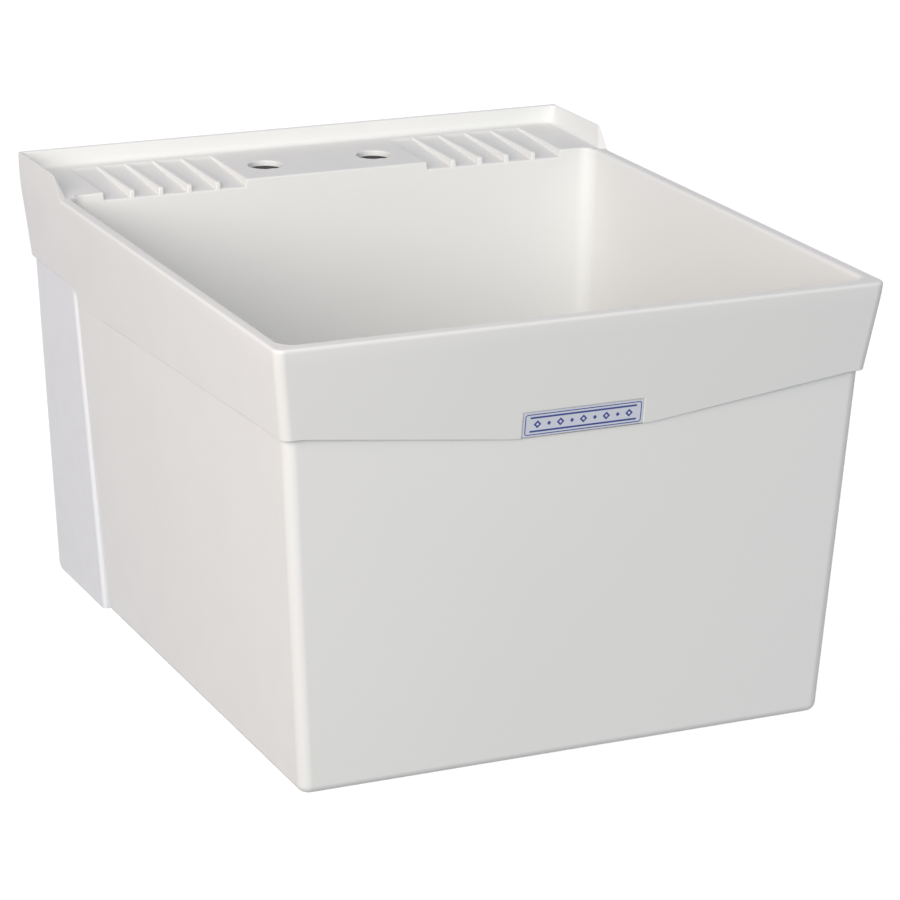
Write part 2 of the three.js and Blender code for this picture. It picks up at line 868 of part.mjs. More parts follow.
function couplingNut() {
  const top = couplingBottom + coupling.height;
  const whole = hexagon(coupling.flats, drainX, drainY, couplingBottom, top);
  const bore = upright(threadClear, drainX, drainY, couplingLip, top + overshoot, sides.large);
  const mouth = upright(coupling.pipeRadius, drainX, drainY, couplingBottom - overshoot, top, sides.large);
  return cut(whole, [bore, mouth]);
}

// ---- stopper and its pull ring ----

const stopperUnder = seatHeight + clearance;
const stopperTop = stopperUnder + stopper.flangeThickness;
const eyeMiddle = stopperTop + stopper.eyeHeight;

function eyeCylinder(radius, length) {
  const geometry = new THREE.CylinderGeometry(radius, radius, length, sides.medium);
  return solid(geometry.rotateZ(Math.PI / 2).translate(drainX, drainY, eyeMiddle));
}

function rubberStopper() {
  const profile = [
    [0, stopperUnder - stopper.plugDepth],
    [stopper.plugLowerRadius, stopperUnder - stopper.plugDepth],
    [stopper.plugTopRadius, stopperUnder],
    [stopper.flangeRadius, stopperUnder],
    [stopper.flangeRadius, stopperTop - stopper.flangeBevel],
    [stopper.flangeRadius - stopper.flangeBevel, stopperTop],
    [0, stopperTop],
  ];
  const half = stopper.eyeThickness / 2;
  const reach = stopper.eyeRadius;
  const plug = turned(profile, drainX, drainY, sides.large);
  const neck = block(
    drainX - half, drainX + half, drainY - reach, drainY + reach, stopperUnder, eyeMiddle);
  const eye = eyeCylinder(stopper.eyeRadius, stopper.eyeThickness);
  const hole = eyeCylinder(stopper.eyeHoleRadius, stopper.eyeThickness + 2 * overshoot);
  return cut(join([plug, neck, eye]), [hole]);
}

// The ring hangs in the eye and lies down on the stopper's top, towards the front.
const ringDrop = stopper.eyeHeight - stopper.ringWire - clearance;
const ringAngle = Math.asin(ringDrop / (2 * stopper.ringRadius));

function pullRing() {
  const geometry = new THREE.TorusGeometry(
    stopper.ringRadius, stopper.ringWire, stopper.wireSides, sides.large);
  return solid(geometry.translate(0, -stopper.ringRadius, 0).rotateX(ringAngle));
}

// ---- assembly ----

const sink = new THREE.Group();

function place(name, manifold, material, parent) {
  const mesh = new THREE.Mesh(geometryOf(manifold), material());
  mesh.name = name;
  parent.add(mesh);
  return mesh;
}

place('tub_shell', tubShell(), whiteMoulding, sink);
place('nameplate', nameplate(), labelFoil, sink);

const support = new THREE.Group();
place('left_wall_bracket', wallBracket(-1), whiteCoatedSteel, support);
place('right_wall_bracket', wallBracket(1), whiteCoatedSteel, support);
place('wall_rail', wallRail(), zincSteel, support);
for (const entry of bosses) {
  place(`${entry.name}_screw`, mountingScrew(entry), zincSteel, support);
  place(`${entry.name}_washer`, screwWasher(entry), zincSteel, support);
}
sink.add(support);

const drainGroup = new THREE.Group();
place('drain_body', drainBody(), polishedSteel, drainGroup);
place('drain_flange_gasket', drainRing(
  drain.gasketRadius, gasketTop, drain.gasketThickness), greyFibre, drainGroup);
place('drain_rubber_washer', drainRing(
  drain.washerRadius, rubberTop, drain.washerThickness), blackRubber, drainGroup);
place('drain_friction_ring', drainRing(
  drain.frictionRadius, frictionTop, drain.frictionThickness), greyFibre, drainGroup);
place('drain_lock_nut', lockNut(), brass, drainGroup);
place('strainer_plate', strainerPlate(), polishedSteel, drainGroup);
place('strainer_screw', strainerScrew(), polishedSteel, drainGroup);
place('coupling_washer', couplingWasher(), blackRubber, drainGroup);
place('coupling_nut', couplingNut(), whitePlastic, drainGroup);
sink.add(drainGroup);

place('rubber_stopper', rubberStopper(), blackRubber, sink);
const stopperRing = place('stopper_pull_ring', pullRing(), polishedSteel, sink);
stopperRing.position.set(drainX, drainY, eyeMiddle);

sink.position.z = -railMiddle;
const part = new THREE.Group();
part.add(sink);

export default part;
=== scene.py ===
import math

import bmesh
import bpy
from mathutils import Matrix, Vector


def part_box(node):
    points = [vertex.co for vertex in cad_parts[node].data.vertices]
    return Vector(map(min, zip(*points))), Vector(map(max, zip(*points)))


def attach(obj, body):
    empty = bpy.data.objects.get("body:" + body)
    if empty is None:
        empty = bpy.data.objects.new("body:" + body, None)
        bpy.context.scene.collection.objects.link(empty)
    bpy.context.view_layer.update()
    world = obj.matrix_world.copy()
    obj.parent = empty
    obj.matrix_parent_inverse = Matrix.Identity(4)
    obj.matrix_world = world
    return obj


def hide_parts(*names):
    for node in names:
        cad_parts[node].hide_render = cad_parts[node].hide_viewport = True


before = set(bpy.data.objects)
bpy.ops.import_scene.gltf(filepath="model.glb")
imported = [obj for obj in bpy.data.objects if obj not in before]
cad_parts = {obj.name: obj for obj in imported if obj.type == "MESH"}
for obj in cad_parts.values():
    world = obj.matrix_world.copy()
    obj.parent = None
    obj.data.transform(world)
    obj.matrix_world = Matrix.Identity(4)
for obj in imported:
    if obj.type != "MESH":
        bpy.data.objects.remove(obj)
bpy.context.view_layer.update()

mm = 0.001

# Pieces are modelled in millimetres counted from the rim's height and put into the frame at the end.
shellLow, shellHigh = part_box("tub_shell")
splash = dict(height=18, thickness=4.1)
cap = dict(topWidth=1.1, baseWidth=6.6, footY=-110.5, sideways=0.625, slope=0.97)
rimHeight = shellHigh.z / mm - splash["height"]
toFrame = Matrix.Scale(mm, 4) @ Matrix.Translation((0, 0, rimHeight))

tub = dict(halfWidth=shellHigh.x / mm, depth=-shellLow.y / mm, height=361, wall=3.4)
body = dict(
    sideInset=8,
    frontInset=10.4,
    rearDistance=96.8,
    sideDraft=22.2,
    frontDraft=15.9,
    rearDraft=28,
    cornerRadius=9.6,
    rearRadius=7.5,
    footRadius=7,
)
bowl = dict(cornerRadius=13, floorRadius=12, floorFall=8, padRadius=46, padThickness=5, holeRadius=24)
apron = dict(
    lean=0.137,
    bendEnd=16,
    cornerRadius=8,
    cornerHeight=72.6,
    centreHeight=93.8,
    flatHalfWidth=58,
    cornerRun=26,
    sideRearHeight=88,
    bracketHeight=74.5,
    riseRun=44,
    riseBend=15,
    skirtWall=2.4,
    below=106,
)


# the camera, the studio's lamps and the floor
view = dict(
    place=(-1.19269, -2.96767, 0.78505),
    turn=-24.41,
    tilt=72.215,
    roll=0.5825,
    lens=148.117,
)
studio = dict(
    sky=0.375,
    skyColour=(0.93, 0.915, 1.0),
    aim=(0, -0.3, -0.05),
    floorHeight=-0.82,
    floorSize=14,
    floorShade=0.25,
    floorGlow=0.62,
    floorPale=0.9,
)
lamps = dict(
    front=dict(kind="SUN", turn=-30, height=20, strength=1.42, spread=40, colour=(0.935, 1.0, 0.99)),
    near=dict(kind="AREA", place=(-1.5, -1.2, 0.7), strength=14.2, size=0.9, colour=(1.0, 0.87, 0.8)),
)


def makeCamera():
    data = bpy.data.cameras.new("camera")
    camera = bpy.data.objects.new("camera", data)
    bpy.context.scene.collection.objects.link(camera)
    data.lens = view["lens"]
    data.clip_end = 50
    turn = Matrix.Rotation(math.radians(view["turn"]), 4, "Z")
    tilt = Matrix.Rotation(math.radians(view["tilt"]), 4, "X")
    roll = Matrix.Rotation(math.radians(view["roll"]), 4, "Z")
    camera.matrix_world = Matrix.Translation(view["place"]) @ turn @ tilt @ roll
    bpy.context.scene.camera = camera


def directRays(tree):
    # 1 for what the camera sees, straight, mirrored or through something clear
    path = tree.nodes.new("ShaderNodeLightPath")
    first = tree.nodes.new("ShaderNodeMath")
    second = tree.nodes.new("ShaderNodeMath")
    first.operation = "MAXIMUM"
    second.operation = "MAXIMUM"
    link = tree.links.new
    link(path.outputs["Is Camera Ray"], first.inputs[0])
    link(path.outputs["Is Glossy Ray"], first.inputs[1])
    link(first.outputs[0], second.inputs[0])
    link(path.outputs["Is Transmission Ray"], second.inputs[1])
    return second.outputs[0]


def makeStudio():
    world = bpy.data.worlds.new("studio")
    world.use_nodes = True
    bpy.context.scene.world = world
    tree = world.node_tree
    tree.nodes.clear()
    out = tree.nodes.new("ShaderNodeOutputWorld")
    seen = tree.nodes.new("ShaderNodeBackground")
    lit = tree.nodes.new("ShaderNodeBackground")
    mix = tree.nodes.new("ShaderNodeMixShader")
    lit.inputs["Color"].default_value = (*studio["skyColour"], 1)
    lit.inputs["Strength"].default_value = studio["sky"]
    seen.inputs["Color"].default_value = (1, 1, 1, 1)
    link = tree.links.new
    link(directRays(tree), mix.inputs["Fac"])
    link(lit.outputs[0], mix.inputs[1])
    link(seen.outputs[0], mix.inputs[2])
    link(mix.outputs[0], out.inputs["Surface"])
    for name, row in lamps.items():
        data = bpy.data.lights.new(name, row["kind"])
        data.energy = row["strength"]
        data.color = row["colour"]
        lamp = bpy.data.objects.new(name, data)
        bpy.context.scene.collection.objects.link(lamp)
        if row["kind"] == "SUN":
            data.angle = math.radians(row["spread"])
            turn = math.radians(row["turn"])
            rise = math.radians(row["height"])
            level = Vector((math.sin(turn), -math.cos(turn), 0)) * math.cos(rise)
            away = level + Vector((0, 0, math.sin(rise)))
        else:
            data.size = row["size"]
            lamp.location = row["place"]
            away = lamp.location - Vector(studio["aim"])
        lamp.rotation_euler = away.to_track_quat("Z", "Y").to_euler()


def makeFloor():
    bm = bmesh.new()
    bmesh.ops.create_grid(bm, x_segments=1, y_segments=1, size=studio["floorSize"] / 2)
    bmesh.ops.translate(bm, verts=bm.verts, vec=(0, 0, studio["floorHeight"]))
    mesh = bpy.data.meshes.new("floor")
    bm.to_mesh(mesh)
    bm.free()
    floor = bpy.data.objects.new("floor", mesh)
    bpy.context.scene.collection.objects.link(floor)
    material = bpy.data.materials.new("paleFloor")
    material.use_nodes = True
    tree = material.node_tree
    tree.nodes.clear()
    out = tree.nodes.new("ShaderNodeOutputMaterial")
    geometry = tree.nodes.new("ShaderNodeNewGeometry")
    dark = tree.nodes.new("ShaderNodeBsdfDiffuse")
    pale = tree.nodes.new("ShaderNodeBsdfDiffuse")
    glow = tree.nodes.new("ShaderNodeEmission")
    clear = tree.nodes.new("ShaderNodeBsdfTransparent")
    lift = tree.nodes.new("ShaderNodeAddShader")
    swap = tree.nodes.new("ShaderNodeMixShader")
    below = tree.nodes.new("ShaderNodeMixShader")
    dark.inputs["Color"].default_value = (*(studio["floorShade"],) * 3, 1)
    pale.inputs["Color"].default_value = (*(studio["floorPale"],) * 3, 1)
    glow.inputs["Strength"].default_value = studio["floorGlow"]
    link = tree.links.new
    link(directRays(tree), swap.inputs["Fac"])
    link(pale.outputs[0], lift.inputs[0])
    link(glow.outputs[0], lift.inputs[1])
    link(dark.outputs[0], swap.inputs[1])
    link(lift.outputs[0], swap.inputs[2])
    link(geometry.outputs["Backfacing"], below.inputs["Fac"])
    link(swap.outputs[0], below.inputs[1])
    link(clear.outputs[0], below.inputs[2])
    link(below.outputs[0], out.inputs["Surface"])
    material.cycles.emission_sampling = "NONE"
    mesh.materials.append(material)


makeCamera()
makeStudio()
makeFloor()
bpy.context.scene.view_settings.view_transform = "Standard"
print("camera, studio and floor")

# effects that more than one material uses
def newGroup(name, inputs, outputs):
    group = bpy.data.node_groups.new(name, "ShaderNodeTree")
    for label, kind, value in inputs:
        socket = group.interface.new_socket(label, in_out="INPUT", socket_type=kind)
        if value is not None:
            socket.default_value = value
    for label, kind in outputs:
        group.interface.new_socket(label, in_out="OUTPUT", socket_type=kind)
    return group, group.nodes.new("NodeGroupInput"), group.nodes.new("NodeGroupOutput")


number = "NodeSocketFloat"
colour = "NodeSocketColor"
vector = "NodeSocketVector"


def addNoise(tree, detail):
    noise = tree.nodes.new("ShaderNodeTexNoise")
    noise.inputs["Detail"].default_value = detail
    return noise


def addRange(tree, low, high):
    span = tree.nodes.new("ShaderNodeMapRange")
    span.inputs["From Min"].default_value = low
    span.inputs["From Max"].default_value = high
    return span


def makeToneGroup():
    # a slow drift between two near colours, as in a moulded or rolled surface
    group, given, out = newGroup("toneDrift", [
        ("Vector", vector, None),
        ("Scale", number, 6),
        ("Base", colour, None),
        ("Other", colour, None),
    ], [("Color", colour)])
    noise = addNoise(group, 3)
    span = addRange(group, 0.3, 0.7)
    mix = group.nodes.new("ShaderNodeMix")
    mix.data_type = "RGBA"
    link = group.links.new
    link(given.outputs["Vector"], noise.inputs["Vector"])
    link(given.outputs["Scale"], noise.inputs["Scale"])
    link(noise.outputs["Fac"], span.inputs["Value"])
    link(span.outputs["Result"], mix.inputs["Factor"])
    link(given.outputs["Base"], mix.inputs["A"])
    link(given.outputs["Other"], mix.inputs["B"])
    link(mix.outputs["Result"], out.inputs["Color"])
    return group


def makeGrainGroup():
    # fine skin grain over a slower waviness; the height drives each material's Bump
    group, given, out = newGroup("skinGrain", [
        ("Vector", vector, None),
        ("Fine Scale", number, 900),
        ("Wave Scale", number, 40),
        ("Wave Share", number, 0.3),
        ("Low", number, 0.35),
        ("High", number, 0.45),
    ], [("Height", number), ("Roughness", number)])
    fine = addNoise(group, 2)
    wave = addNoise(group, 2)
    mix = group.nodes.new("ShaderNodeMix")
    rough = addRange(group, 0.3, 0.7)
    link = group.links.new
    link(given.outputs["Vector"], fine.inputs["Vector"])
    link(given.outputs["Vector"], wave.inputs["Vector"])
    link(given.outputs["Fine Scale"], fine.inputs["Scale"])
    link(given.outputs["Wave Scale"], wave.inputs["Scale"])
    link(given.outputs["Wave Share"], mix.inputs["Factor"])
    link(fine.outputs["Fac"], mix.inputs["A"])
    link(wave.outputs["Fac"], mix.inputs["B"])
    link(mix.outputs["Result"], out.inputs["Height"])
    link(wave.outputs["Fac"], rough.inputs["Value"])
    link(given.outputs["Low"], rough.inputs["To Min"])
    link(given.outputs["High"], rough.inputs["To Max"])
    link(rough.outputs["Result"], out.inputs["Roughness"])
    return group


toneDrift = makeToneGroup()
skinGrain = makeGrainGroup()

finishes = dict(
    mouldedWhite=dict(
        base=(0.872, 0.87, 0.848), other=(0.862, 0.861, 0.841), drift=5,
        fine=700, wave=35, share=0.35, low=0.36, high=0.46, bump=0.06, depth=0.0003, metal=0,
    ),
    coatedSteel=dict(
        base=(0.84, 0.845, 0.868), other=(0.828, 0.835, 0.86), drift=8,
        fine=420, wave=60, share=0.3, low=0.3, high=0.42, bump=0.12, depth=0.0003, metal=0,
    ),
    zincSteel=dict(
        base=(0.56, 0.57, 0.58), other=(0.46, 0.47, 0.5), drift=90,
        fine=1200, wave=220, share=0.5, low=0.28, high=0.46, bump=0.2, depth=0.0002, metal=1,
    ),
    polishedSteel=dict(
        base=(0.66, 0.66, 0.65), other=(0.6, 0.6, 0.6), drift=30,
        fine=1500, wave=160, share=0.4, low=0.14, high=0.26, bump=0.08, depth=0.0002, metal=1,
    ),
    plainBrass=dict(
        base=(0.66, 0.47, 0.2), other=(0.58, 0.4, 0.17), drift=60,
        fine=1100, wave=120, share=0.4, low=0.24, high=0.4, bump=0.12, depth=0.0002, metal=1,
    ),
    blackRubber=dict(
        base=(0.022, 0.022, 0.024), other=(0.032, 0.032, 0.034), drift=50,
        fine=1300, wave=90, share=0.3, low=0.55, high=0.72, bump=0.25, depth=0.0002, metal=0,
    ),
    greyFibre=dict(
        base=(0.3, 0.29, 0.26), other=(0.24, 0.23, 0.21), drift=120,
        fine=1600, wave=300, share=0.5, low=0.75, high=0.9, bump=0.5, depth=0.0003, metal=0,
    ),
    whitePlastic=dict(
        base=(0.78, 0.78, 0.76), other=(0.75, 0.75, 0.73), drift=40,
        fine=1000, wave=80, share=0.3, low=0.34, high=0.46, bump=0.12, depth=0.0002, metal=0,
    ),
    navyInk=dict(
        base=(0.028, 0.05, 0.24), other=(0.04, 0.065, 0.28), drift=150,
        fine=1800, wave=200, share=0.4, low=0.34, high=0.5, bump=0.05, depth=0.0001, metal=0,
    ),
    labelFoil=dict(
        base=(0.72, 0.75, 0.83), other=(0.69, 0.72, 0.81), drift=30,
        fine=1500, wave=120, share=0.3, low=0.3, high=0.42, bump=0.05, depth=0.0002, metal=0,
    ),
)
materials = {}


def makeMaterial(name, look):
    material = bpy.data.materials.new(name)
    material.use_nodes = True
    tree = material.node_tree
    shader = tree.nodes["Principled BSDF"]
    place = tree.nodes.new("ShaderNodeTexCoord")
    tone = tree.nodes.new("ShaderNodeGroup")
    tone.node_tree = toneDrift
    tone.inputs["Scale"].default_value = look["drift"]
    tone.inputs["Base"].default_value = (*look["base"], 1)
    tone.inputs["Other"].default_value = (*look["other"], 1)
    grain = tree.nodes.new("ShaderNodeGroup")
    grain.node_tree = skinGrain
    grain.inputs["Fine Scale"].default_value = look["fine"]
    grain.inputs["Wave Scale"].default_value = look["wave"]
    grain.inputs["Wave Share"].default_value = look["share"]
    grain.inputs["Low"].default_value = look["low"]
    grain.inputs["High"].default_value = look["high"]
    bump = tree.nodes.new("ShaderNodeBump")
    bump.inputs["Strength"].default_value = look["bump"]
    bump.inputs["Distance"].default_value = look["depth"]
    shader.inputs["Metallic"].default_value = look["metal"]
    link = tree.links.new
    link(place.outputs["Object"], tone.inputs["Vector"])
    link(place.outputs["Object"], grain.inputs["Vector"])
    link(tone.outputs["Color"], shader.inputs["Base Color"])
    link(grain.outputs["Roughness"], shader.inputs["Roughness"])
    link(grain.outputs["Height"], bump.inputs["Height"])
    link(bump.outputs["Normal"], shader.inputs["Normal"])
    materials[name] = material


for name, look in finishes.items():
    makeMaterial(name, look)
print("materials", len(materials))

# helpers that every piece uses
def newObject(name, bm):
    bmesh.ops.recalc_face_normals(bm, faces=bm.faces)
    mesh = bpy.data.meshes.new(name)
    bm.to_mesh(mesh)
    bm.free()
    obj = bpy.data.objects.new(name, mesh)
    bpy.context.scene.collection.objects.link(obj)
    return obj


def settle(obj):
    # applies the modifiers and joins the hair-thin duplicates that a cut can leave
    graph = bpy.context.evaluated_depsgraph_get()
    mesh = bpy.data.meshes.new_from_object(obj.evaluated_get(graph))
    obj.modifiers.clear()
    bm = bmesh.new()
    bm.from_mesh(mesh)
    bmesh.ops.remove_doubles(bm, verts=bm.verts, dist=0.004)
    bm.to_mesh(mesh)
    bm.free()
    obj.data = mesh


def combine(obj, others, operation):
    for other in others:
        step = obj.modifiers.new("combine", "BOOLEAN")
        step.operation = operation
        step.solver = "EXACT"
        step.object = other
        settle(obj)
        bpy.data.objects.remove(other)
    return obj


def soften(bm, edges, width, segments):
    return bmesh.ops.bevel(
        bm,
        geom=edges,
        offset=width,
        offset_type="OFFSET",
        segments=segments,
        profile=0.5,
        affect="EDGES",
        material=-1,
    )


def pushFace(bm, face, keep=False):
    # gives the new face; the old one stays only as the closed end of a new solid
    made = bmesh.ops.extrude_face_region(bm, geom=[face])
    if not keep:
        bmesh.ops.delete(bm, geom=[face], context="FACES_ONLY")
    return [item for item in made["geom"] if isinstance(item, bmesh.types.BMFace)][0]


def prism(name, outline, axis, low, high):
    # the outline is (y, z) for a prism along X, (x, z) along Y and (x, y) along Z
    place = {
        "X": lambda a, b: (low, a, b),
        "Y": lambda a, b: (a, low, b),
        "Z": lambda a, b: (a, b, low),
    }[axis]
    run = {"X": (1, 0, 0), "Y": (0, 1, 0), "Z": (0, 0, 1)}[axis]
    bm = bmesh.new()
    face = bm.faces.new([bm.verts.new(place(a, b)) for a, b in outline])
    end = pushFace(bm, face, keep=True)
    bmesh.ops.translate(bm, verts=end.verts, vec=Vector(run) * (high - low))
    return newObject(name, bm)


def turnVerts(bm, verts, degrees, axis, middle=(0, 0, 0)):
    turn = Matrix.Rotation(math.radians(degrees), 3, axis)
    bmesh.ops.rotate(bm, verts=verts, cent=middle, matrix=turn)


def cylinder(bm, radius, x, y, low, high, segments):
    made = bmesh.ops.create_cone(
        bm, cap_ends=True, segments=segments, radius1=radius, radius2=radius, depth=high - low
    )
    bmesh.ops.translate(bm, verts=made["verts"], vec=(x, y, (low + high) / 2))
    return made["verts"]


def taperedBox(levels):
    # levels are (z, half width, front, rear), from the top down
    z, half, front, rear = levels[0]
    bm = bmesh.new()
    corners = [(-half, front), (half, front), (half, rear), (-half, rear)]
    face = bm.faces.new([bm.verts.new((x, y, z)) for x, y in corners])
    for count, (z, half, front, rear) in enumerate(levels[1:]):
        middle = face.calc_center_median()
        face = pushFace(bm, face, keep=count == 0)
        for vert in face.verts:
            side = half if vert.co.x > middle.x else -half
            vert.co = (side, rear if vert.co.y > middle.y else front, z)
    return bm


def uprightEdges(bm, test):
    found = []
    for edge in bm.edges:
        run = edge.verts[1].co - edge.verts[0].co
        if abs(run.z) > 0.7 * run.length and test((edge.verts[0].co + edge.verts[1].co) / 2):
            found.append(edge)
    return found


def lowestFace(bm):
    return min(bm.faces, key=lambda face: face.calc_center_median().z)


def bodyWalls(z, inset):
    # the tub's tapering walls at a height
    share = z / tub["height"]
    return (
        z,
        tub["halfWidth"] - body["sideInset"] + body["sideDraft"] * share - inset,
        -tub["depth"] + body["frontInset"] - body["frontDraft"] * share + inset,
        -body["rearDistance"] + body["rearDraft"] * share - inset,
    )


def apronWalls(z, inset, rear):
    # upright at the top, then a soft bend into the leaning apron
    start = 5 - apron["bendEnd"]
    drop = max(-z, start)
    if drop < apron["bendEnd"]:
        back = apron["lean"] * (drop - start) ** 2 / (2 * (apron["bendEnd"] - start)) + inset
    else:
        back = apron["lean"] * (drop - 2.5) + inset
    return (z, tub["halfWidth"] - back, -tub["depth"] + back, rear)


drainY = (bodyWalls(-tub["height"], 0)[2] + bodyWalls(-tub["height"], 0)[3]) / 2
padUnder = -tub["height"] - bowl["floorFall"]
padTop = padUnder + bowl["padThickness"]


def splitLong(bm, face):
    long = [edge for edge in face.edges if edge.calc_length() > 30]
    for edge in long:
        bmesh.ops.subdivide_edges(bm, edges=[edge], cuts=int(edge.calc_length() / 18))


def roundPad(bm, z, radius):
    # the floor runs from its rounded edge down to a flat ring round the drain
    face = pushFace(bm, lowestFace(bm))
    for vert in face.verts:
        out = Vector((vert.co.x, vert.co.y - drainY, 0)).normalized() * radius
        vert.co = (out.x, drainY + out.y, z)


def bodyBlock():
    # the top stays just under the rim, inside the apron's block
    bm = taperedBox([bodyWalls(-1.5, 0), bodyWalls(-tub["height"], 0)])
    middle = -tub["depth"] / 2
    soften(bm, uprightEdges(bm, lambda p: p.y < middle), body["cornerRadius"], 8)
    soften(bm, uprightEdges(bm, lambda p: p.y > middle - 60), body["rearRadius"], 3)
    soften(bm, lowestFace(bm).edges[:], body["footRadius"], 5)
    splitLong(bm, lowestFace(bm))
    roundPad(bm, padUnder, bowl["padRadius"])
    return newObject("body", bm)


def bowlSpace():
    bm = taperedBox([bodyWalls(24, tub["wall"]), bodyWalls(-tub["height"] + tub["wall"], tub["wall"])])
    soften(bm, uprightEdges(bm, lambda p: True), bowl["cornerRadius"], 10)
    soften(bm, lowestFace(bm).edges[:], bowl["floorRadius"], 8)
    splitLong(bm, lowestFace(bm))
    roundPad(bm, padTop, bowl["padRadius"])
    return newObject("bowl", bm)


def apronBlock():
    # no level lies at the rim, where the edge is rounded
    bends = [-apron["bendEnd"] * step / 4 for step in (-3, -2, -1, 1, 2, 3, 4)]
    bm = taperedBox([apronWalls(z, 0, 0) for z in (splash["height"], *bends, -apron["below"])])
    front = uprightEdges(bm, lambda p: p.y < -tub["depth"] / 2)
    soften(bm, front, apron["cornerRadius"], 8)
    return newObject("apron", bm)


def facetY(x, z):
    # the sloping facet that ends each cap
    return cap["footY"] + cap["sideways"] * (tub["halfWidth"] - x) + cap["slope"] * z


def aboveRim():
    # all that is open above the rim and deck, between the caps and in front of them
    top = splash["height"] + 20
    foot = tub["halfWidth"] - cap["baseWidth"]
    spread = (cap["baseWidth"] - cap["topWidth"]) / splash["height"] * top
    far = tub["halfWidth"] + 20
    back = -splash["thickness"]
    ahead = -tub["depth"] - 20
    half = [(foot, back), (foot, facetY(foot, 0)), (far, facetY(far, 0)), (far, ahead)]
    wide = foot + spread
    high = [(wide, back), (wide, facetY(wide, top)), (far, facetY(far, top)), (far, ahead)]
    outline = half + [(-x, y) for x, y in reversed(half)]
    raised = high + [(-x, y) for x, y in reversed(high)]
    bm = bmesh.new()
    verts = [bm.verts.new((x, y, 0)) for x, y in outline]
    made = bmesh.ops.extrude_face_region(bm, geom=[bm.faces.new(verts)])
    for vert in [item for item in made["geom"] if isinstance(item, bmesh.types.BMVert)]:
        nearest = min(range(len(outline)), key=lambda k: (Vector(outline[k]) - vert.co.xy).length)
        vert.co = (*raised[nearest], top)
    return newObject("above", bm)


def apronCutters():
    reach = tub["halfWidth"] + 12
    under = -apron["below"] - 12
    slope = tub["halfWidth"] - apron["cornerRun"]
    frontY = -tub["depth"] + apron["cornerRun"]
    flat = apron["flatHalfWidth"]
    frontEdge = prism("frontEdge", [
        (-reach, -apron["cornerHeight"]),
        (-slope, -apron["cornerHeight"]),
        (-flat, -apron["centreHeight"]),
        (flat, -apron["centreHeight"]),
        (slope, -apron["cornerHeight"]),
        (reach, -apron["cornerHeight"]),
        (reach, under),
        (-reach, under),
    ], "Y", -tub["depth"] - 12, frontY)
    riseEnd = bodyWalls(-apron["bracketHeight"], 0)[3]
    riseStart = riseEnd - apron["riseRun"]
    bend = riseStart + apron["riseBend"]
    rise = []
    for step in range(11):
        t = step / 10
        y = (1 - t) ** 2 * riseStart + 2 * t * (1 - t) * bend + t * t * riseEnd
        z = (1 - t * t) * -apron["sideRearHeight"] + t * t * -apron["bracketHeight"]
        rise.append((y, z))
    sideEdge = prism("sideEdge", [
        (frontY, -apron["cornerHeight"]),
        *rise,
        (12, -apron["bracketHeight"]),
        (12, under),
        (frontY, under),
    ], "X", -reach, reach)
    bm = taperedBox([
        (z, apronWalls(z, apron["skirtWall"], 0)[1], bodyWalls(z, 0)[3] - 3, 12)
        for z in (-deck["underside"], -apron["below"] - 1)
    ])
    return [frontEdge, sideEdge, newObject("plumbing", bm)]


# deck, trays and the label's recess
recess = dict(width=102, top=72.9, depth=1.5)
deck = dict(
    rearHeight=2.4,
    frontHeight=0.95,
    underside=3.4,
    platformHalfWidth=84,
    rampStart=101.5,
    rampEnd=106.2,
    tuck=1.1,
)
tray = dict(
    channels=5,
    end=212,
    rearDistance=12,
    frontDepth=5.6,
    lip=1.5,
    ribWidth=4.5,
    ribRound=1.1,
    noseRadius=3,
    cuts=(16, 20, 26),
    scoop=[(0.3, 0.02), (1, 0.16), (2, 0.6), (3, 1.15), (4.2, 1.65), (6, 2.05), (9, 2.4), (12.5, 2.7)],
)
faucetHoles = dict(radius=15, spacing=101.6, fromWall=59.4)


def deckHeight(y):
    share = (-y - splash["thickness"]) / (body["rearDistance"] - splash["thickness"])
    return deck["rearHeight"] + (deck["frontHeight"] - deck["rearHeight"]) * share


def deckSlab():
    # each end is tucked into its cap
    reach = tub["halfWidth"] - cap["baseWidth"] + deck["tuck"]
    start = -deck["rampStart"]
    outline = [
        (-2, -2),
        (-2, deckHeight(-2)),
        (start, deckHeight(start)),
        (-deck["rampEnd"], -0.18),
        (-104, -2),
    ]
    return prism("deck", outline, "X", -reach, reach)


def bowlRear(z):
    return bodyWalls(z, tub["wall"])[3]


def arcPoints(middle, radius, start, end, steps):
    points = []
    for step in range(steps + 1):
        turn = math.radians(start + (end - start) * step / steps)
        points.append((middle[0] + radius * math.cos(turn), middle[1] + radius * math.sin(turn)))
    return points


def trayLine():
    # the floor scoops down near the wall, runs straight and rolls over a lip into the bowl
    start = -tray["rearDistance"]
    line = [(start + 0.6, deckHeight(start) + 0.02)]
    line += [(start - run, deckHeight(start) - drop) for run, drop in tray["scoop"]]
    lip = tray["lip"]
    edge = bowlRear(-tray["frontDepth"])
    line += arcPoints((edge + lip, -tray["frontDepth"] - lip), lip + 0.02, 90, 180, 5)
    return line


def trayParts(side):
    line = trayLine()
    inner = side * deck["platformHalfWidth"]
    outer = side * tray["end"]
    wall = side * tub["wall"]
    under = [(y, z - tub["wall"]) for y, z in line[3:-5]]
    panOutline = [(-8, -1), (-8, -3), *under, (under[-1][0], -1)]
    ahead = line[-1][0] - 4
    pocketOutline = [*line, (ahead, line[-1][1]), (ahead, 12), (line[0][0], 12)]
    pan = prism("pan", panOutline, "X", inner - wall, outer + wall)
    return pan, prism("pocket", pocketOutline, "X", inner, outer)


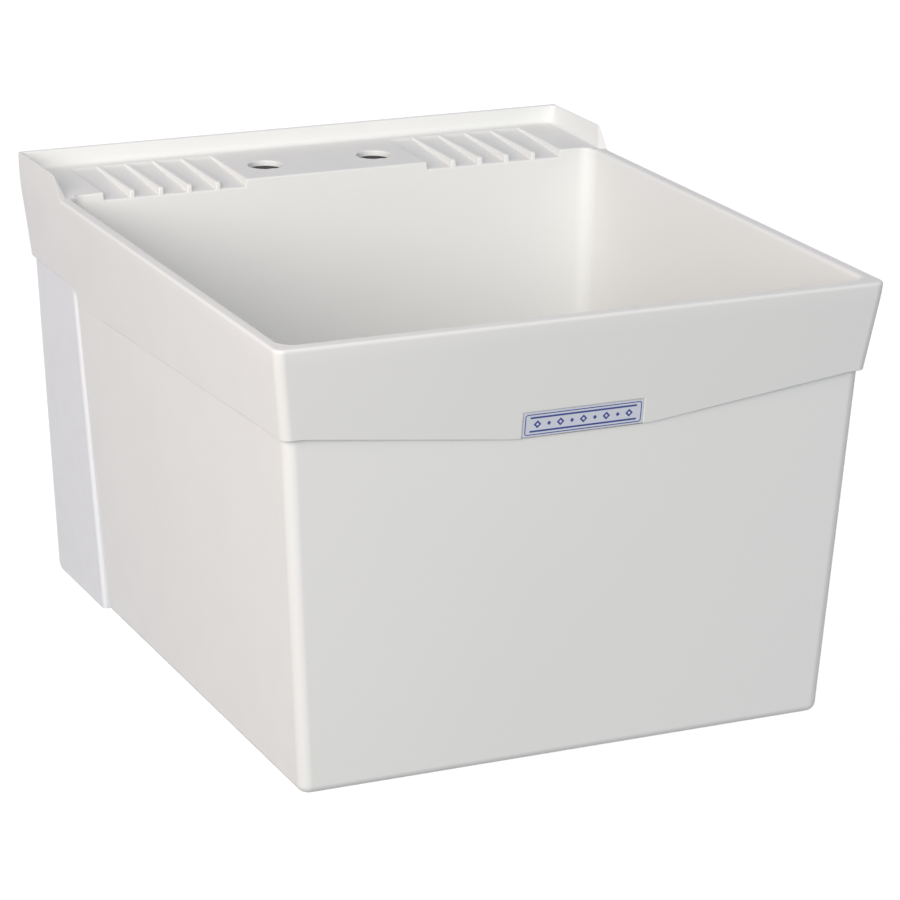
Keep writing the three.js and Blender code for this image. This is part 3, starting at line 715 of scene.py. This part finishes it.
def trayRib(x):
    # one rib with its nose and edges rounded before it joins the tray
    front = bowlRear(0) + 0.06
    low = bowlRear(-9) + 0.06
    radius = tray["noseRadius"]
    top = deckHeight(front) - 0.03
    floor = -tray["frontDepth"]
    half = tray["ribWidth"] / 2
    nose = arcPoints((front + radius, top - radius), radius, 90, 180, 6)
    outline = [
        (-9, deckHeight(-9) - 0.03),
        *nose,
        (low, -9),
        (low + 1.6, -9),
        (front + 3, floor - 1.6),
        (-26, -2),
        (-9, 0.4),
    ]
    rib = prism("rib", outline, "X", x - half, x + half)
    bm = bmesh.new()
    bm.from_mesh(rib.data)
    ends = [face for face in bm.faces if abs(face.normal.x) > 0.9]
    outer = []
    for face in ends:
        for edge in face.edges:
            middle = (edge.verts[0].co + edge.verts[1].co) / 2
            along = min(vert.co.z for vert in edge.verts) > deckHeight(-9) - 2.5 or middle.y < front + 1.5
            if along and middle.y < -9.5 and middle.z > -8.9:
                outer.append(edge)
    soften(bm, outer, tray["ribRound"], 4)
    bm.to_mesh(rib.data)
    bm.free()
    return rib


bosses = dict(
    foot=17,
    holeTop=4.5,
    holeRadius=2.6,
    clearance=3,
    bracket=dict(x=224.41, y=(-28, -76), radius=7),
    rail=dict(x=150.07, y=(-15,), radius=6.5),
)


def bossSpots():
    spots = []
    for kind in ("bracket", "rail"):
        row = bosses[kind]
        for side in (-1, 1):
            spots += [(side * row["x"], y, row["radius"]) for y in row["y"]]
    return spots


def screwBosses():
    bm = bmesh.new()
    for x, y, radius in bossSpots():
        cylinder(bm, radius, x, y, -bosses["foot"], -1.5, 32)
    return newObject("bosses", bm)


def labelRecess():
    # parallel to the leaning apron and open at its lower edge
    def floorY(z):
        return apronWalls(z, 0, 0)[2] + recess["depth"]

    top = -recess["top"]
    low = -apron["centreHeight"] - 4
    outline = [(floorY(top), top), (-tub["depth"] - 9, top), (-tub["depth"] - 9, low), (floorY(low), low)]
    return prism("recess", outline, "X", -recess["width"] / 2, recess["width"] / 2)


rearLip = dict(halfWidth=195, fromWall=2, thickness=2.4, foot=16.9)


def rearLipStrip():
    # a thin lip that hangs from the deck at the wall, behind the faucet holes
    low = -rearLip["foot"]
    rear = -rearLip["fromWall"]
    front = rear - rearLip["thickness"]
    outline = [(rear, -1.5), (front - 0.6, -1.5), (front, low), (rear, low)]
    return prism("lip", outline, "X", -rearLip["halfWidth"], rearLip["halfWidth"])


def roundHoles():
    bm = bmesh.new()
    for x, y, radius in bossSpots():
        cylinder(bm, bosses["holeRadius"], x, y, -bosses["foot"] - 2, -bosses["holeTop"], 20)
    for side in (-1, 1):
        x = side * faucetHoles["spacing"] / 2
        cylinder(bm, faucetHoles["radius"], x, -faucetHoles["fromWall"], -18, 22, 48)
    cylinder(bm, bowl["holeRadius"], 0, drainY, padUnder - 1, padTop + 1, 64)
    return newObject("holes", bm)


def buildTub():
    whole = combine(apronBlock(), [*apronCutters(), labelRecess(), aboveRim()], "DIFFERENCE")
    trays = [trayParts(-1), trayParts(1)]
    parts = [bodyBlock(), screwBosses(), deckSlab(), rearLipStrip()]
    combine(whole, parts + [pan for pan, _ in trays], "UNION")
    combine(whole, [bowlSpace(), roundHoles(), *[pocket for _, pocket in trays]], "DIFFERENCE")
    pitch = (tray["end"] - deck["platformHalfWidth"]) / tray["channels"]
    spots = [deck["platformHalfWidth"] + pitch * step for step in range(1, tray["channels"])]
    combine(whole, [trayRib(side * x) for side in (-1, 1) for x in spots], "UNION")
    return whole


softness = dict(
    widest=4,
    plain=0.8,
    rimOuter=2.5,
    rimInner=3.4,
    deckEdge=1.5,
    traySides=1.1,
    splashTop=1.2,
    capTop=0.4,
    splashCove=4,
    cornerCove=4,
    capCove=2.5,
    capFoot=0.5,
    apronEdge=0.6,
    sharpFrom=24,
)


def edgeWidth(edge):
    a = edge.verts[0].co
    b = edge.verts[1].co
    middle = (a + b) / 2
    angle = edge.calc_face_angle_signed(0)
    if abs(angle) < math.radians(softness["sharpFrom"]):
        return 0
    x = abs(middle.x)
    if 98 < -middle.y < 113.3 and -0.6 < middle.z < 1.2:
        # the cap's foot and the end of the deck, where the widths change over
        if x > 246:
            return softness["capFoot"]
        if 228 < x < 243:
            along = (-middle.y - 98) / 15.3
            return softness["deckEdge"] + along * (softness["rimInner"] - softness["deckEdge"])
    level = abs(a.z) < 0.05 and abs(b.z) < 0.05
    if level and middle.y < -103 and (x > 246 or middle.y < -585):
        return softness["rimOuter"]
    if level and middle.y < -102 and x < 243:
        return softness["rimInner"]
    if angle < 0 and middle.y > -5 and middle.z > 1:
        return softness["splashCove"] if abs(a.z - b.z) < 1 else softness["cornerCove"]
    if angle < 0 and x > 246.5 and middle.z > -0.5:
        return softness["capCove"]
    if middle.z > 0.5 and x > 248:
        return softness["capTop"]
    if middle.z > 16.5:
        return softness["splashTop"]
    # the tray's own edges are rounded by its parts, but for its two ends
    inTray = deck["platformHalfWidth"] - 0.3 < x < tray["end"] + 0.3
    if inTray and -104 < middle.y < -10 and -8 < middle.z < 3:
        onSide = min(abs(x - deck["platformHalfWidth"]), abs(x - tray["end"])) < 0.2
        if onSide and angle > 0 and middle.y < -20:
            return softness["traySides"]
        return 0
    if -104 < middle.y < -95 and -7 < middle.z < 2.6:
        return softness["deckEdge"]
    if middle.z < -70:
        return softness["apronEdge"]
    return softness["plain"]


def onHole(vert):
    # the cuts that join a round hole to its face's outline stay
    spots = [(0, drainY, bowl["holeRadius"])]
    for side in (-1, 1):
        spots.append((side * faucetHoles["spacing"] / 2, -faucetHoles["fromWall"], faucetHoles["radius"]))
    spots += [(x, y, bosses["holeRadius"]) for x, y, _ in bossSpots()]
    return any((vert.co.xy - Vector((x, y))).length < radius + 0.1 for x, y, radius in spots)


def finishTub():
    tubObject = buildTub()
    bm = bmesh.new()
    bm.from_mesh(tubObject.data)
    bmesh.ops.remove_doubles(bm, verts=bm.verts, dist=0.005)
    spare = [edge for edge in bm.edges if not any(onHole(vert) for vert in edge.verts)]
    bmesh.ops.dissolve_limit(bm, angle_limit=math.radians(0.3), verts=[], edges=spare)
    for distance in tray["cuts"]:
        # splits the tray's long side edges, so that their rounding can begin past the scoop
        nearby = [face for face in bm.faces if -110 < face.calc_center_median().y < -8]
        nearby = [face for face in nearby if -8 < face.calc_center_median().z < 3]
        edges = list({edge for face in nearby for edge in face.edges})
        verts = list({vert for face in nearby for vert in face.verts})
        around = nearby + edges + verts
        bmesh.ops.bisect_plane(bm, geom=around, plane_co=(0, -distance, 0), plane_no=(0, 1, 0))
    bm.normal_update()
    weight = bm.edges.layers.float.new("bevel_weight_edge")
    for edge in bm.edges:
        edge[weight] = edgeWidth(edge) / softness["widest"]
        edge.smooth = edge[weight] > 0 or abs(edge.calc_face_angle(0)) < math.radians(30)
    for face in bm.faces:
        face.smooth = True
    stray = [edge for edge in bm.edges if len(edge.link_faces) != 2]
    print("tub edges that aren't closed", len(stray))
    bm.to_mesh(tubObject.data)
    bm.free()
    tubObject.data.transform(toFrame)
    bevel = tubObject.modifiers.new("edges", "BEVEL")
    bevel.limit_method = "WEIGHT"
    bevel.width = softness["widest"] * mm
    bevel.segments = 4
    bevel.use_clamp_overlap = False
    bevel.loop_slide = False
    normals = tubObject.modifiers.new("normals", "WEIGHTED_NORMAL")
    normals.keep_sharp = True
    tubObject.name = "laundry_tub"
    tubObject.data.materials.append(materials["mouldedWhite"])
    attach(tubObject, "sink")
    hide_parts("tub_shell")
    return tubObject


finishTub()
print("tub")

def turned(profile, x, y, steps):
    # a closed (radius, height) profile spun round an upright axis
    bm = bmesh.new()
    verts = [bm.verts.new((radius, 0, z)) for radius, z in profile]
    edges = [bm.edges.new(pair) for pair in zip(verts, verts[1:])]
    if profile[0][0] > 0:
        edges.append(bm.edges.new((verts[-1], verts[0])))
    bmesh.ops.spin(
        bm, geom=verts + edges, cent=(0, 0, 0), axis=(0, 0, 1), angle=math.tau, steps=steps, use_merge=True
    )
    bmesh.ops.remove_doubles(bm, verts=bm.verts, dist=0.0001)
    bmesh.ops.translate(bm, verts=bm.verts, vec=(x, y, 0))
    return bm


def place(obj, name, node, finish, body="sink", width=0.3, segments=2, sharper=32):
    # rounds the edges, gives the finish and sets the piece where its CAD node is
    obj.name = name
    obj.data.transform(toFrame)
    for face in obj.data.polygons:
        face.use_smooth = True
    bevel = obj.modifiers.new("edges", "BEVEL")
    bevel.limit_method = "ANGLE"
    bevel.angle_limit = math.radians(sharper)
    bevel.width = width * mm
    bevel.segments = segments
    normals = obj.modifiers.new("normals", "WEIGHTED_NORMAL")
    normals.keep_sharp = False
    obj.data.materials.append(materials[finish])
    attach(obj, body)
    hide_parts(node)
    return obj


def wallHole(bm, radius, x, z, reach):
    # a round cutter along Y, from the wall towards the front
    made = cylinder(bm, radius, 0, 0, -reach, reach, 28)
    turnVerts(bm, made, 90, "X")
    bmesh.ops.translate(bm, verts=made, vec=(x, 0, z))


# wall brackets and rail
bracket = dict(
    sheet=2.5,
    bend=3.6,
    lean=0.052,
    face=245.31,
    top=17.3,
    wallFlange=30,
    frontFlange=16,
    topFlange=38,
    lowerRound=12,
    frontGapTop=0.3,
    frontGapLow=3,
    wallHoles=(57.3, 316),
    wallHoleRadius=4.5,
)
rail = dict(
    sheet=3,
    bend=4.5,
    height=45,
    shelf=28,
    halfLength=206.07,
    holeX=100,
    holeZ=39.8,
    holeRadius=4.5,
)


def foldedOutline(face, front):
    # a C-shaped sheet seen from above: wall flange, side panel, front flange
    sheet = bracket["sheet"]
    bend = bracket["bend"]
    inside = bend - sheet
    rear = face - bend
    return [
        (face - bracket["wallFlange"], 0),
        *arcPoints((rear, -bend), bend, 90, 0, 5),
        *arcPoints((rear, front + bend), bend, 0, -90, 5),
        (face - bracket["frontFlange"], front),
        (face - bracket["frontFlange"], front + sheet),
        *arcPoints((rear, front + bend), inside, -90, 0, 4),
        *arcPoints((rear, -bend), inside, 0, 90, 4),
        (face - bracket["wallFlange"], -sheet),
    ]


def wallBracket(side):
    face = bracket["face"]
    top = -bracket["top"]
    low = -tub["height"]
    frontTop = bodyWalls(top, 0)[3] + bracket["frontGapTop"]
    frontLow = bodyWalls(low, 0)[3] + bracket["frontGapLow"]
    sheet = prism("bracket", foldedOutline(face, frontTop), "Z", top, low)
    for vert in sheet.data.vertices:
        if vert.co.y < -50 and vert.co.z < -100:
            vert.co.y += frontLow - frontTop
    shelfDepth = frontTop + 1
    shelf = prism("shelf", [
        (face - bracket["topFlange"], -0.4),
        (face - bracket["bend"], -0.4),
        *arcPoints((face - bracket["bend"], -bracket["bend"]), bracket["bend"] - 0.4, 80, 10, 3),
        (face - 0.4, shelfDepth + bracket["bend"]),
        (face - bracket["bend"], shelfDepth),
        (face - bracket["topFlange"], shelfDepth),
    ], "Z", top - bracket["sheet"], top - 0.01)
    combine(sheet, [shelf], "UNION")
    radius = bracket["lowerRound"]
    corner = arcPoints((-radius, low + radius), radius, 0, -90, 8)
    cutter = prism("corner", [(2, low + radius), *corner, (-radius, low - 2), (2, low - 2)], "X", 200, 260)
    bm = bmesh.new()
    for y in bosses["bracket"]["y"]:
        x = bosses["bracket"]["x"] - bracket["lean"] * top
        cylinder(bm, bosses["clearance"], x, y, top - 9, top + 5, 24)
    for z in bracket["wallHoles"]:
        wallHole(bm, bracket["wallHoleRadius"], face - (bracket["sheet"] + bracket["wallFlange"]) / 2, -z, 8)
    combine(sheet, [cutter, newObject("holes", bm)], "DIFFERENCE")
    bm = bmesh.new()
    bm.from_mesh(sheet.data)
    bmesh.ops.remove_doubles(bm, verts=bm.verts, dist=0.002)
    for vert in bm.verts:
        vert.co.x = side * (vert.co.x + bracket["lean"] * vert.co.z)
    bmesh.ops.recalc_face_normals(bm, faces=bm.faces)
    bm.to_mesh(sheet.data)
    bm.free()
    hand = "left" if side < 0 else "right"
    return place(sheet, hand + "_bracket", hand + "_wall_bracket", "coatedSteel", width=0.5, segments=3)


def wallRail():
    bend = rail["bend"]
    inside = bend - rail["sheet"]
    top = -bracket["top"]
    angle = prism("rail", [
        (0, top - rail["height"]),
        *arcPoints((-bend, top - bend), bend, 0, 90, 6),
        (-rail["shelf"], top),
        (-rail["shelf"], top - rail["sheet"]),
        *arcPoints((-bend, top - bend), inside, 90, 0, 5),
        (-rail["sheet"], top - rail["height"]),
    ], "X", -rail["halfLength"], rail["halfLength"])
    bm = bmesh.new()
    for side in (-1, 1):
        x = side * bosses["rail"]["x"]
        cylinder(bm, bosses["clearance"], x, bosses["rail"]["y"][0], top - 8, top + 5, 24)
        wallHole(bm, rail["holeRadius"], side * rail["holeX"], -rail["holeZ"], 9)
    combine(angle, [newObject("holes", bm)], "DIFFERENCE")
    return place(angle, "rail", "wall_rail", "zincSteel", width=0.4)


wallBracket(-1)
wallBracket(1)
wallRail()
print("brackets and rail")

# screws and washers
screw = dict(head=4.8, headTop=3.6, headHeight=3.4, shank=2.45, root=2.05, pitch=1, top=7, recess=5.4)
washer = dict(radius=6.5, hole=2.8, thickness=1.2)


def mountingScrew(name, x, y, under):
    # under is the height of the head's seat; the shank goes up into the boss
    foot = under - screw["headHeight"]
    profile = [(0, foot), (screw["headTop"] * 0.6, foot), (screw["headTop"], foot + 0.35)]
    profile += [(screw["head"] - 0.35, foot + 1.1), (screw["head"], foot + 2), (screw["head"], under)]
    profile.append((screw["root"], under))
    z = under + 2
    # the thread's ridges
    while z < -screw["top"] - 2:
        profile += [(screw["root"], z), (screw["shank"], z + 0.4), (screw["shank"], z + 0.55)]
        z += screw["pitch"]
    profile += [(screw["root"], -screw["top"] - 1.4), (0.4, -screw["top"]), (0, -screw["top"])]
    obj = newObject(name, turned(profile, x, y, 28))
    for turn in (0, 90):
        # one slot of the cross, narrowing into the head
        bm = bmesh.new()
        slot = bmesh.ops.create_cube(bm, size=1)["verts"]
        bmesh.ops.scale(bm, verts=slot, vec=(screw["recess"], 1.05, 2.6))
        bmesh.ops.scale(bm, verts=[vert for vert in slot if vert.co.z > 0], vec=(0.35, 0.6, 1))
        turnVerts(bm, slot, turn, "Z")
        bmesh.ops.translate(bm, verts=slot, vec=(x, y, foot + 0.55))
        combine(obj, [newObject("slot", bm)], "DIFFERENCE")
    return place(obj, name + "_piece", name, "zincSteel", width=0.12, sharper=75)


def ringPiece(name, node, finish, x, y, inner, outer, low, high, steps=48, width=0.3):
    obj = newObject(name, turned([(inner, low), (outer, low), (outer, high), (inner, high)], x, y, steps))
    return place(obj, name, node, finish, width=width)


# the place, its boss row, which boss of the row, and the washer's top below the rim
screwRows = (
    ("bracket_rear", "bracket", 0, 20.1),
    ("bracket_front", "bracket", 1, 20.1),
    ("rail", "rail", 0, 20.6),
)
for side, hand in ((-1, "left"), (1, "right")):
    for kind, key, count, gap in screwRows:
        row = bosses[key]
        spot = (side * row["x"], row["y"][count])
        node = f"{hand}_{kind}"
        low = -gap - washer["thickness"]
        sizes = (washer["hole"], washer["radius"], low, -gap)
        ringPiece(node + "_ring", node + "_washer", "zincSteel", *spot, *sizes)
        mountingScrew(node + "_screw", *spot, low - 0.3)
print("screws and washers")

# the drain with its seals, nuts and strainer
drain = dict(
    flangeRadius=36,
    flangeTop=358.9,
    flangeUnder=361.9,
    dishRadius=30,
    seatRadius=25.5,
    seatDepth=361.4,
    throatRadius=20,
    outletRadius=17.5,
    threadRadius=22.5,
    threadRoot=21.5,
    threadPitch=2,
    threadEnd=404,
    ledge=380.9,
    barWidth=7,
    barHeight=6,
)
strainer = dict(
    low=380.6,
    thickness=1.5,
    radius=19.7,
    holes=8,
    holeCircle=11.5,
    holeRadius=2.9,
    screwHole=2.3,
)
nuts = dict(
    lockFlats=58,
    lockTop=373.9,
    lockHeight=8,
    couplingFlats=55,
    couplingTop=389.6,
    couplingHeight=22,
    bore=22.8,
    mouth=19.4,
)


def barAcross(name, half, low, high, reach):
    # a straight bar over the drain's middle
    outline = [(drainY - half, low), (drainY + half, low), (drainY + half, high), (drainY - half, high)]
    return prism(name, outline, "X", -reach, reach)


def drainBody():
    root = drain["threadRoot"]
    crest = drain["threadRadius"]
    flange = drain["flangeRadius"]
    throat = drain["throatRadius"]
    outlet = drain["outletRadius"]
    top = -drain["flangeTop"]
    under = -drain["flangeUnder"]
    seat = -drain["seatDepth"]
    ledge = -drain["ledge"]
    profile = [(outlet, -drain["threadEnd"]), (root, -drain["threadEnd"])]
    z = -drain["threadEnd"] + 0.8
    while z < under - 12:
        profile += [(root, z), (crest, z + 0.7), (crest, z + 1.1), (root, z + 1.8)]
        z += drain["threadPitch"]
    # the flange, the dish, the stopper's seat and the throat
    profile += [(crest, under - 9), (crest, under), (flange - 0.4, under), (flange, top - 2.2)]
    profile += [(flange - 0.3, top - 1.2), (flange - 1.5, top - 0.25), (flange - 3.5, top)]
    profile += [(drain["dishRadius"] + 1, top - 0.05), (drain["dishRadius"] - 0.6, top - 0.5)]
    profile += [(drain["seatRadius"] + 0.8, seat + 0.35), (drain["seatRadius"] - 0.6, seat)]
    profile += [(throat + 0.8, seat), (throat, seat - 0.8), (throat, ledge), (outlet, ledge)]
    obj = newObject("drain", turned(profile, 0, drainY, 72))
    low = ledge - drain["barHeight"]
    combine(obj, [barAcross("bar", drain["barWidth"] / 2, low, ledge, outlet + 1.5)], "UNION")
    bm = bmesh.new()
    cylinder(bm, strainer["screwHole"], 0, drainY, low - 1, ledge + 1, 20)
    combine(obj, [newObject("hole", bm)], "DIFFERENCE")
    return place(obj, "drain_flanged_body", "drain_body", "polishedSteel", width=0.3, sharper=75)


def strainerPlate():
    low = -strainer["low"]
    bm = bmesh.new()
    cylinder(bm, strainer["radius"], 0, drainY, low, low + strainer["thickness"], 64)
    obj = newObject("strainer", bm)
    bm = bmesh.new()
    cylinder(bm, strainer["screwHole"], 0, drainY, low - 1, low + 3, 20)
    for step in range(strainer["holes"]):
        turn = math.tau * (step + 0.5) / strainer["holes"]
        x = strainer["holeCircle"] * math.cos(turn)
        y = drainY + strainer["holeCircle"] * math.sin(turn)
        cylinder(bm, strainer["holeRadius"], x, y, low - 1, low + 3, 24)
    combine(obj, [newObject("holes", bm)], "DIFFERENCE")
    return place(obj, "strainer_disc", "strainer_plate", "polishedSteel", width=0.3)


def strainerScrew():
    seat = -strainer["low"] + strainer["thickness"] + 0.3
    profile = [(0, seat - 9), (1.5, seat - 9), (2, seat - 8.4), (2, seat), (4.4, seat), (4.3, seat + 0.6)]
    profile += [(3.6, seat + 1.4), (2.2, seat + 1.9), (0, seat + 2)]
    obj = newObject("screw", turned(profile, 0, drainY, 32))
    combine(obj, [barAcross("slot", 0.6, seat + 0.9, seat + 3, 6)], "DIFFERENCE")
    return place(obj, "strainer_fixing", "strainer_screw", "polishedSteel", width=0.12, sharper=75)


def hexNut(name, node, finish, flats, low, high, bores, width):
    bm = bmesh.new()
    corners = cylinder(bm, flats / math.sqrt(3), 0, drainY, low, high, 6)
    turnVerts(bm, corners, 30, "Z", (0, drainY, 0))
    obj = newObject(name, bm)
    # the corners are turned down at both ends
    chamfer = (high - low) * 0.16
    outer = flats / math.sqrt(3) + 0.3
    collar = newObject("collar", turned([
        (0, low - 0.01), (flats / 2 - 0.2, low - 0.01), (outer, low + chamfer),
        (outer, high - chamfer), (flats / 2 - 0.2, high + 0.01), (0, high + 0.01),
    ], 0, drainY, 72))
    combine(obj, [collar], "INTERSECT")
    bm = bmesh.new()
    for radius, start, end in bores:
        cylinder(bm, radius, 0, drainY, start, end, 64)
    combine(obj, [newObject("bore", bm)], "DIFFERENCE")
    return place(obj, name, node, finish, width=width)


def sealRing(name, node, finish, inner, outer, low, high, width=0.3):
    return ringPiece(name, node, finish, 0, drainY, inner, outer, low, high, 64, width)


bore = nuts["bore"]
mouth = nuts["mouth"]
drainBody()
sealRing("flange_gasket", "drain_flange_gasket", "greyFibre", bore, 34, -363.7, -362.2)
sealRing("under_washer", "drain_rubber_washer", "blackRubber", bore, 35, -372.3, -369.3, 0.6)
sealRing("friction_ring", "drain_friction_ring", "greyFibre", bore, 34, -373.6, -372.6, 0.2)
high = -nuts["lockTop"]
low = high - nuts["lockHeight"]
bores = [(bore, low - 2, high + 2)]
hexNut("lock_nut", "drain_lock_nut", "plainBrass", nuts["lockFlats"], low, high, bores, 0.4)
sealRing("coupling_seal", "coupling_washer", "blackRubber", mouth, 22.5, -408.3, -404.3, 0.5)
high = -nuts["couplingTop"]
low = high - nuts["couplingHeight"]
bores = [(mouth, low - 2, low + 6), (bore, low + 3, high + 2)]
hexNut("coupling_collar", "coupling_nut", "whitePlastic", nuts["couplingFlats"], low, high, bores, 0.8)
strainerPlate()
strainerScrew()
print("drain")

# the stopper and its ring
stopper = dict(
    top=357.1,
    under=361.1,
    radius=24,
    plugDepth=12,
    plugTop=19.4,
    plugLow=18.4,
    eyeHeight=6.5,
    eyeRadius=5.6,
    eyeHole=2.6,
    eyeThickness=4,
    ringRadius=11,
    wire=1.2,
    ringDrop=13.14,
)


def rubberStopper():
    top = -stopper["top"]
    low = -stopper["under"] - stopper["plugDepth"]
    profile = [
        (0, low), (stopper["plugLow"] - 1.2, low), (stopper["plugLow"], low + 1.2),
        (stopper["plugTop"], -stopper["under"] - 0.5), (stopper["plugTop"] + 0.5, -stopper["under"]),
        (stopper["radius"] - 0.6, -stopper["under"]), (stopper["radius"], -stopper["under"] + 0.6),
        (stopper["radius"], top - 1.6), (stopper["radius"] - 0.4, top - 0.7),
        (stopper["radius"] - 1.3, top - 0.1),
        (18.2, top), (17.4, top - 0.5), (16.2, top - 0.5), (15.4, top), (0, top),
    ]
    obj = newObject("stopper", turned(profile, 0, drainY, 72))
    half = stopper["eyeThickness"] / 2
    middle = top + stopper["eyeHeight"]
    reach = stopper["eyeRadius"]
    sides = arcPoints((drainY, middle), reach, 180, 0, 16)
    eye = prism("eye", [(drainY - reach - 1.2, top - 2), (drainY - reach, top + 1.4), *sides,
                        (drainY + reach, top + 1.4), (drainY + reach + 1.2, top - 2)], "X", -half, half)
    combine(obj, [eye], "UNION")
    circle = arcPoints((drainY, middle), stopper["eyeHole"], 0, 345, 23)
    combine(obj, [prism("hole", circle, "X", -half - 2, half + 2)], "DIFFERENCE")
    return place(obj, "stopper_plug", "rubber_stopper", "blackRubber", body="stopper", width=0.4, segments=3)


def pullRing():
    bm = bmesh.new()
    made = bmesh.ops.create_circle(bm, segments=14, radius=stopper["wire"])
    turnVerts(bm, made["verts"], 90, "X")
    bmesh.ops.translate(bm, verts=bm.verts, vec=(stopper["ringRadius"], 0, 0))
    wire = bm.verts[:] + bm.edges[:]
    bmesh.ops.spin(
        bm, geom=wire, cent=(0, 0, 0), axis=(0, 0, 1), angle=math.tau, steps=64, use_merge=True
    )
    bmesh.ops.translate(bm, verts=bm.verts, vec=(0, -stopper["ringRadius"], 0))
    turnVerts(bm, bm.verts, stopper["ringDrop"], "X")
    bmesh.ops.translate(bm, verts=bm.verts, vec=(0, drainY, -stopper["top"] + stopper["eyeHeight"]))
    obj = newObject("ring", bm)
    return place(obj, "pull_ring", "stopper_pull_ring", "polishedSteel", body="pull_ring", width=0.05)


rubberStopper()
pullRing()
print("stopper")

# the label plate, with a plain printed pattern
plate = dict(
    width=100.4,
    height=19.6,
    thickness=0.8,
    top=73.7,
    back=1.2,
    print=0.07,
    frameInset=1.3,
    frameWidth=0.75,
    corner=2.2,
    bars=(5.6, -5.6),
    barHeight=1.5,
    marks=9,
    markPitch=9.6,
)


def roundedRectangle(width, height, radius):
    points = []
    for x, y, start in ((1, 1, 0), (-1, 1, 90), (-1, -1, 180), (1, -1, 270)):
        middle = (x * (width / 2 - radius), y * (height / 2 - radius))
        points += arcPoints(middle, radius, start, start + 90, 5)
    return points


def addSlab(bm, outline, low, high, slot):
    face = bm.faces.new([bm.verts.new((x, y, low)) for x, y in outline])
    end = pushFace(bm, face, keep=True)
    bmesh.ops.translate(bm, verts=end.verts, vec=(0, 0, high - low))
    found = {face, end} | {near for edge in end.edges for near in edge.link_faces}
    for item in found:
        item.material_index = slot


def labelPlate():
    bm = bmesh.new()
    height = plate["height"] * math.sqrt(1 + apron["lean"] ** 2)
    addSlab(bm, roundedRectangle(plate["width"], height, 0.8), -plate["thickness"], 0, 0)
    ink = plate["print"]
    inset = plate["frameInset"]
    outer = roundedRectangle(plate["width"] - 2 * inset, height - 2 * inset, plate["corner"])
    inset += plate["frameWidth"]
    corner = plate["corner"] - plate["frameWidth"]
    inner = roundedRectangle(plate["width"] - 2 * inset, height - 2 * inset, corner)
    count = len(outer)
    for k in range(count):
        # the frame is laid down as short strokes, one to a side or corner step
        here, there = k, (k + 1) % count
        addSlab(bm, [outer[here], outer[there], inner[there], inner[here]], -0.02, ink, 1)
    for y in plate["bars"]:
        half = plate["width"] / 2 - inset - 3.5
        tall = plate["barHeight"] / 2
        bar = [(-half, y - tall), (half, y - tall), (half, y + tall), (-half, y + tall)]
        addSlab(bm, bar, -0.02, ink, 1)
    for step in range(plate["marks"]):
        x = (step - (plate["marks"] - 1) / 2) * plate["markPitch"]
        wide = 3.2 if step % 2 == 0 else 1.7
        tall = 3.3 if step % 2 == 0 else 1.9
        addSlab(bm, [(x - wide, 0), (x, -tall), (x + wide, 0), (x, tall)], -0.02, ink, 1)
        if step % 2 == 0:
            addSlab(bm, [(x - 1.3, 0), (x, -1.35), (x + 1.3, 0), (x, 1.35)], ink - 0.01, ink + 0.03, 0)
    lean = math.atan(apron["lean"])
    turn = Matrix.Rotation(math.pi / 2 + lean, 4, "X")
    middle = -plate["top"] - plate["height"] / 2
    face = apronWalls(middle, 0, 0)[2] + plate["back"] - plate["thickness"]
    bmesh.ops.transform(bm, matrix=Matrix.Translation((0, face, middle)) @ turn, verts=bm.verts)
    obj = newObject("label", bm)
    place(obj, "label_plate", "nameplate", "labelFoil", width=0.04)
    obj.data.materials.append(materials["navyInk"])
    return obj


labelPlate()
print("label plate")
